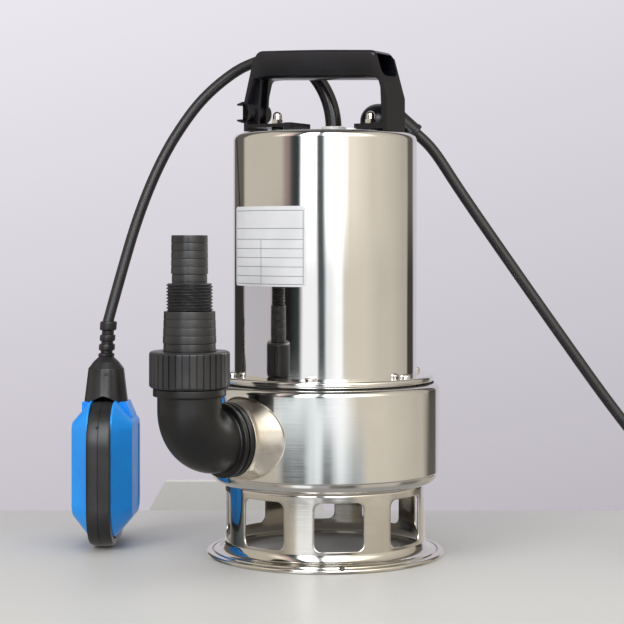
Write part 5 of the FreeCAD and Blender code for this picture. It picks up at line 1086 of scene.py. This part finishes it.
def coil_route():
    """The coil's points: layers that spiral in and out, twelve points to a half turn."""
    inner, pitch, layers, half_turns, lift, steps = 61.5, 9.3, 4, 8, 1.5, 12
    outer = inner + pitch * (half_turns + 0.5) / 2
    ends = []
    for layer in range(layers):
        height = lift + CABLE_RADIUS + pitch * (layers - 1 - layer)
        for index in range(half_turns + (2 if layer == layers - 1 else 1)):
            inward = index if layer % 2 == 0 else half_turns - index
            ends.append((outer - pitch * inward / 2, height))
    centre = Vector((MAINS_CABLE[-1][0] + 2 * CABLE_RADIUS, MAINS_CABLE[-1][1] - outer, 0))
    # A quadratic spline runs inside its points, by this much on a circle
    swell = 2 / (1 + math.cos(math.pi / 2 / steps) ** 2)

    def wound(turned, radius, height):
        angle = math.pi / 2 - math.pi * turned
        return centre + Vector((radius * math.cos(angle), radius * math.sin(angle), height))

    points = []
    for index, (start, end) in enumerate(zip(ends, ends[1:])):
        for step in range(steps):
            share = step / steps
            radius, height = (first * (1 - share) + last * share for first, last in zip(start, end))
            points.append(wound(index + share, radius * swell, height))
    return points + [wound(len(ends) - 1, *ends[-1])]


def cable(name, route):
    """A round cable on one smooth spline through its route."""
    curve = bpy.data.curves.new(name, "CURVE")
    curve.dimensions = "3D"
    curve.bevel_depth = CABLE_RADIUS * MM
    curve.bevel_resolution = 6
    curve.use_fill_caps = True
    spline = curve.splines.new("NURBS")
    spline.points.add(len(route) - 1)
    for point, spot in zip(spline.points, route):
        point.co = (*(Vector(spot) * MM), 1.0)
    spline.order_u = 3
    spline.use_endpoint_u = True
    spline.resolution_u = 8
    curve.materials.append(CABLE_SHEATH)
    piece = placed(name, curve)
    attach(piece, "pump")
    return piece


float_cord = cable("float_switch_cable", [SLEEVE_TIP] + FLOAT_CABLE)
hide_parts("float_cable")
mains_cord = cable("mains_supply_cable", [MAINS_START] + MAINS_CABLE + coil_route() + PLUG_LEAD)
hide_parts("mains_cable", "mains_coil", "plug_lead")
# The pump's steel in the photograph mirrors an empty table
for unseen in (mains_cord, NODES["plug_body"], NODES["plug_pins"], NODES["coil_tie"]):
    unseen.visible_glossy = False


# Studio

def studio():
    """A pale table top before a soft lilac wall, with the camera at the front."""
    left, right, front, back, edge = -430.0, 640.0, -262.0, 214.0, 16.0
    section = rounded([(front, -2 * edge), (back, -2 * edge), (back, 0.0, edge), (front, 0.0)], steps=10,
                      closed=True)
    table = bar([[Vector((across, *spot)) for spot in section] for across in (left, right)])
    material, tree, place = new_material("pale_grey_laminate")
    speck = add(tree, "TexNoise", {"Vector": place, "Scale": per_metre(3), "Detail": 3.0})
    # Painted shade: the table top is dimmer towards its back and lighter near its front
    depth = add(tree, "SeparateXYZ", {0: place}, "Y")
    near = add(tree, "MapRange", {"Value": depth, "From Min": 0.2, "From Max": -0.2})
    lit, dim = (add(tree, "Mix", {"Factor": speck, "A": linear(low), "B": linear(high)}, 2, data_type="RGBA")
                for low, high in (("BDBDB9", "C1C0BC"), ("B5B3B2", "B9B7B5")))
    shade = add(tree, "Mix", {"Factor": near, "A": dim, "B": lit}, 2, data_type="RGBA")
    top = stand("table_top", table, finished(material, Base_Color=shade, Roughness=0.5))
    # The steel in the photograph mirrors the room over the table's near edge
    top.visible_glossy = False
    board = prism([(-160.0, -10.0), (-143.0, 19.6), (0.0, 19.6), (0.0, -10.0)], 240.0, 252.0)
    material, tree, place = new_material("pale_card_board")
    speck = add(tree, "TexNoise", {"Vector": place, "Scale": per_metre(5), "Detail": 3.0})
    shade = add(tree, "Mix", {"Factor": speck, "A": linear("CBCAC6"), "B": linear("D0CFCB")}, 2,
                data_type="RGBA")
    stand("pale_board", board, finished(material, Base_Color=shade, Roughness=0.6))


# What stands round the pump in the studio, for the polished steel to mirror
WALL = "CFCCD3"
WHITE_BOX = "F4F6F8"
SILVER_SHEET = "CAD0D3"
WARM_CARD = "D2CABC"
GREY_FLAG = "4E5356"
DARK_DOOR = "2A2827"
BROWN_SHELF = "66615A"
RED_CURTAIN = "A8948F"

# Where each thing begins and ends, as bearings from the front, and how brightly it is lit. The steel's
# lower parts mirror lower heights: the first layout is for the casing's top and the last for the strainer.
CASING_TOP_THINGS = [
    (-180, -158, WALL, 1.0), (-155, -124, BROWN_SHELF, 1.0), (-118, -57, WARM_CARD, 0.95),
    (-49, -47, RED_CURTAIN, 0.9), (-39, -33, GREY_FLAG, 0.6), (-29, -12, WHITE_BOX, 2.4),
    (-9, -4, GREY_FLAG, 1.3), (1, 20, WHITE_BOX, 2.3), (30, 36, WARM_CARD, 1.6), (60, 70, WARM_CARD, 1.2),
    (116, 122, WARM_CARD, 0.8), (126, 141, BROWN_SHELF, 1.0), (146, 180, WALL, 1.0),
]
CASING_THINGS = [
    (-180, -158, WALL, 1.0), (-155, -124, DARK_DOOR, 1.5), (-118, -74, WALL, 0.9),
    (-69, -67, RED_CURTAIN, 1.3), (-63, -44, DARK_DOOR, 0.5), (-36, -33, GREY_FLAG, 0.5),
    (-28, -10, WHITE_BOX, 1.2), (-7, -2, GREY_FLAG, 1.1), (2, 6, WHITE_BOX, 1.1), (14, 20, WHITE_BOX, 1.35),
    (24, 50, WARM_CARD, 1.2), (70, 90, WARM_CARD, 1.0), (116, 122, WARM_CARD, 0.8),
    (126, 141, BROWN_SHELF, 0.45), (146, 180, WALL, 1.0),
]
VOLUTE_TOP_THINGS = [
    (-180, -178, WALL, 1.0), (-155, -134, DARK_DOOR, 1.0), (-128, -120, WARM_CARD, 0.9),
    (-70, -60, WARM_CARD, 1.3), (-46, -31, SILVER_SHEET, 1.8), (-20, -18, SILVER_SHEET, 1.5),
    (-8, 0, SILVER_SHEET, 1.9), (8, 18, WHITE_BOX, 1.45), (32, 60, WARM_CARD, 1.25),
    (100, 112, WARM_CARD, 0.95), (128, 141, BROWN_SHELF, 0.8), (147, 180, WALL, 1.0),
]
VOLUTE_LOW_THINGS = [
    (-180, -178, WALL, 1.0), (-155, -134, DARK_DOOR, 1.0), (-128, -48, WARM_CARD, 0.92),
    (-41, -21, GREY_FLAG, 1.3), (-15, -12, SILVER_SHEET, 1.4), (-8, -6, SILVER_SHEET, 1.7),
    (-2, 3, GREY_FLAG, 2.1), (13, 18, SILVER_SHEET, 1.75), (27, 34, SILVER_SHEET, 0.9),
    (42, 60, WARM_CARD, 1.2), (105, 112, WARM_CARD, 0.95), (124, 141, BROWN_SHELF, 1.0),
    (147, 180, WALL, 1.0),
]
STRAINER_THINGS = [
    (-180, -178, WALL, 1.15), (-152, -150, WARM_CARD, 0.9), (-128, -127, GREY_FLAG, 0.5),
    (-110, -108, GREY_FLAG, 1.4), (-90, -60, WARM_CARD, 0.6), (-52, -50, WARM_CARD, 0.5),
    (-37, -36, WARM_CARD, 1.0), (-31, -16, WHITE_BOX, 1.3), (-12, -2, WALL, 0.7), (5, 7, BROWN_SHELF, 1.8),
    (26, 28, BROWN_SHELF, 1.2), (38, 73, WARM_CARD, 0.9), (84, 104, BROWN_SHELF, 1.65),
    (128, 132, WARM_CARD, 0.7), (178, 180, WALL, 1.15),
]
# Each layout with the heights of the ray, between which it takes over from the one before
THINGS_BY_HEIGHT = [(CASING_TOP_THINGS, None), (CASING_THINGS, (0.02, -0.02)),
                    (VOLUTE_TOP_THINGS, (-0.086, -0.09)), (VOLUTE_LOW_THINGS, (-0.1, -0.134)),
                    (STRAINER_THINGS, (-0.15, -0.154))]


def lit_things(tree, turn, layout):
    """The colour of a layout at a bearing, as brightly as it is lit there."""
    brightest = 4.0
    stops = [(bearing, colour, level) for start, end, colour, level in layout for bearing in (start, end)]
    ramp = add(tree, "ValToRGB", {0: turn}).node
    elements = ramp.color_ramp.elements
    while len(elements) < len(stops):
        elements.new(1.0)
    for element, (bearing, colour, level) in zip(elements, stops):
        element.position = (bearing + 180) / 360
        element.color = (*linear(colour)[:3], level / brightest)
    level = add(tree, "Math", {0: ramp.outputs["Alpha"], 1: brightest}, operation="MULTIPLY")
    return add(tree, "VectorMath", {0: ramp.outputs["Color"], "Scale": level}, operation="SCALE")


def daylight():
    """The world: plain soft light, a lilac wall behind the pump, and what the polished steel mirrors."""
    world = bpy.data.worlds.new("studio_world")
    bpy.context.scene.world = world
    world.use_nodes = True
    tree = world.node_tree
    tree.nodes.clear()
    way = add(tree, "TexCoord", out="Generated")
    across, depth, height = add(tree, "SeparateXYZ", {0: way}).node.outputs
    behind = add(tree, "Math", {0: depth, 1: -1.0}, operation="MULTIPLY")
    bearing = add(tree, "Math", {0: across, 1: behind}, operation="ARCTAN2")
    # The boxes' edges aren't quite straight
    waver = add(tree, "TexNoise", {"Vector": way, "Scale": 9.0, "Detail": 2.0})
    aside = add(tree, "MapRange", {"Value": waver, "To Min": -0.035, "To Max": 0.035})
    bent = add(tree, "Math", {0: bearing, 1: aside}, operation="ADD")
    turn = add(tree, "MapRange", {"Value": bent, "From Min": -math.pi, "From Max": math.pi})
    things = None
    for layout, heights in THINGS_BY_HEIGHT:
        above, things = things, lit_things(tree, turn, layout)
        if heights:
            share = add(tree, "MapRange", {"Value": height, "From Min": heights[0], "From Max": heights[1]})
            things = add(tree, "Mix", {"Factor": share, "A": above, "B": things}, 2, data_type="RGBA")
    # The boxes in front are brightest at their tops, which the fittings' sheen shows
    high = add(tree, "MapRange", {"Value": height, "From Min": 0.12, "From Max": 0.35})
    ahead = add(tree, "MapRange", {"Value": depth, "From Min": -0.75, "From Max": -0.3, "To Min": 2.6,
                                   "To Max": 0.0})
    gain = add(tree, "Math", {0: high, 1: ahead, 2: 1.0}, operation="MULTIPLY_ADD")
    mirrored = add(tree, "VectorMath", {0: things, "Scale": gain}, operation="SCALE")
    # A pale floor below and a dark ceiling above
    for start, end, colour in ((-0.28, -0.5, "A6A3A0"), (0.8, 0.96, "4A4848")):
        share = add(tree, "MapRange", {"Value": height, "From Min": start, "From Max": end})
        mirrored = add(tree, "Mix", {"Factor": share, "A": mirrored, "B": linear(colour)}, 2,
                       data_type="RGBA")
    # The wall behind has painted shade, darker towards its foot and towards the right
    rise = add(tree, "MapRange", {"Value": height, "From Min": -0.17, "From Max": 0.15})
    wall = add(tree, "ValToRGB", {0: rise})
    for element, colour in zip(wall.node.color_ramp.elements, ("BFBAC2", "E4E1E8")):
        element.color = linear(colour)
    level = add(tree, "MapRange", {"Value": across, "From Min": -0.18, "From Max": 0.18, "To Min": 1.09,
                                   "To Max": 0.96})
    seen = add(tree, "VectorMath", {0: wall, "Scale": level}, operation="SCALE")
    backdrop = add(tree, "Background", {"Color": seen, "Strength": 1.0})
    shine = add(tree, "Background", {"Color": mirrored, "Strength": 1.0})
    soft = add(tree, "Background", {"Color": linear("F4F3F6"), "Strength": 0.6})
    rays = add(tree, "LightPath").node.outputs
    clear = add(tree, "Math", {0: rays["Is Camera Ray"], 1: rays["Is Transmission Ray"]}, operation="MAXIMUM")
    light = add(tree, "MixShader", {0: rays["Is Glossy Ray"], 1: soft, 2: shine})
    add(tree, "OutputWorld", {"Surface": add(tree, "MixShader", {0: clear, 1: light, 2: backdrop})})


def lamp(name, place, target, side, watts):
    """A soft box aimed at a point. The steel mirrors the world's boxes instead of the lamp."""
    light = bpy.data.lights.new(name, "AREA")
    light.size = side * MM
    light.energy = watts
    item = placed(name, light)
    item.location = Vector(place) * MM
    item.rotation_euler = (Vector(target) - Vector(place)).to_track_quat("-Z", "Y").to_euler()
    item.visible_glossy = False


def camera():
    """Level with the pump's upper half, as far away as the photograph was taken."""
    lens_pixels, frame_pixels, horizon_row = 1720.0, 624.0, 236.0
    sensor = 36.0
    made = bpy.data.cameras.new("front_camera")
    made.sensor_width = sensor
    made.lens = sensor * lens_pixels / frame_pixels
    made.shift_y = (horizon_row - frame_pixels / 2) / frame_pixels
    made.clip_end = 100.0
    item = placed("front_camera", made)
    item.location = Vector((-9.96, -1318.0, 242.1)) * MM
    item.rotation_euler = (math.pi / 2, 0, 0)
    bpy.context.scene.camera = item


studio()
daylight()
lamp("left_soft_box", (-1500, -1600, 1500), (0, 0, 150), 1200, 26)
lamp("right_soft_box", (1500, -1500, 1100), (0, 0, 150), 1200, 16)
lamp("top_soft_box", (0, -200, 1900), (0, 0, 0), 1500, 16)
camera()

bpy.context.scene.view_settings.view_transform = "Standard"
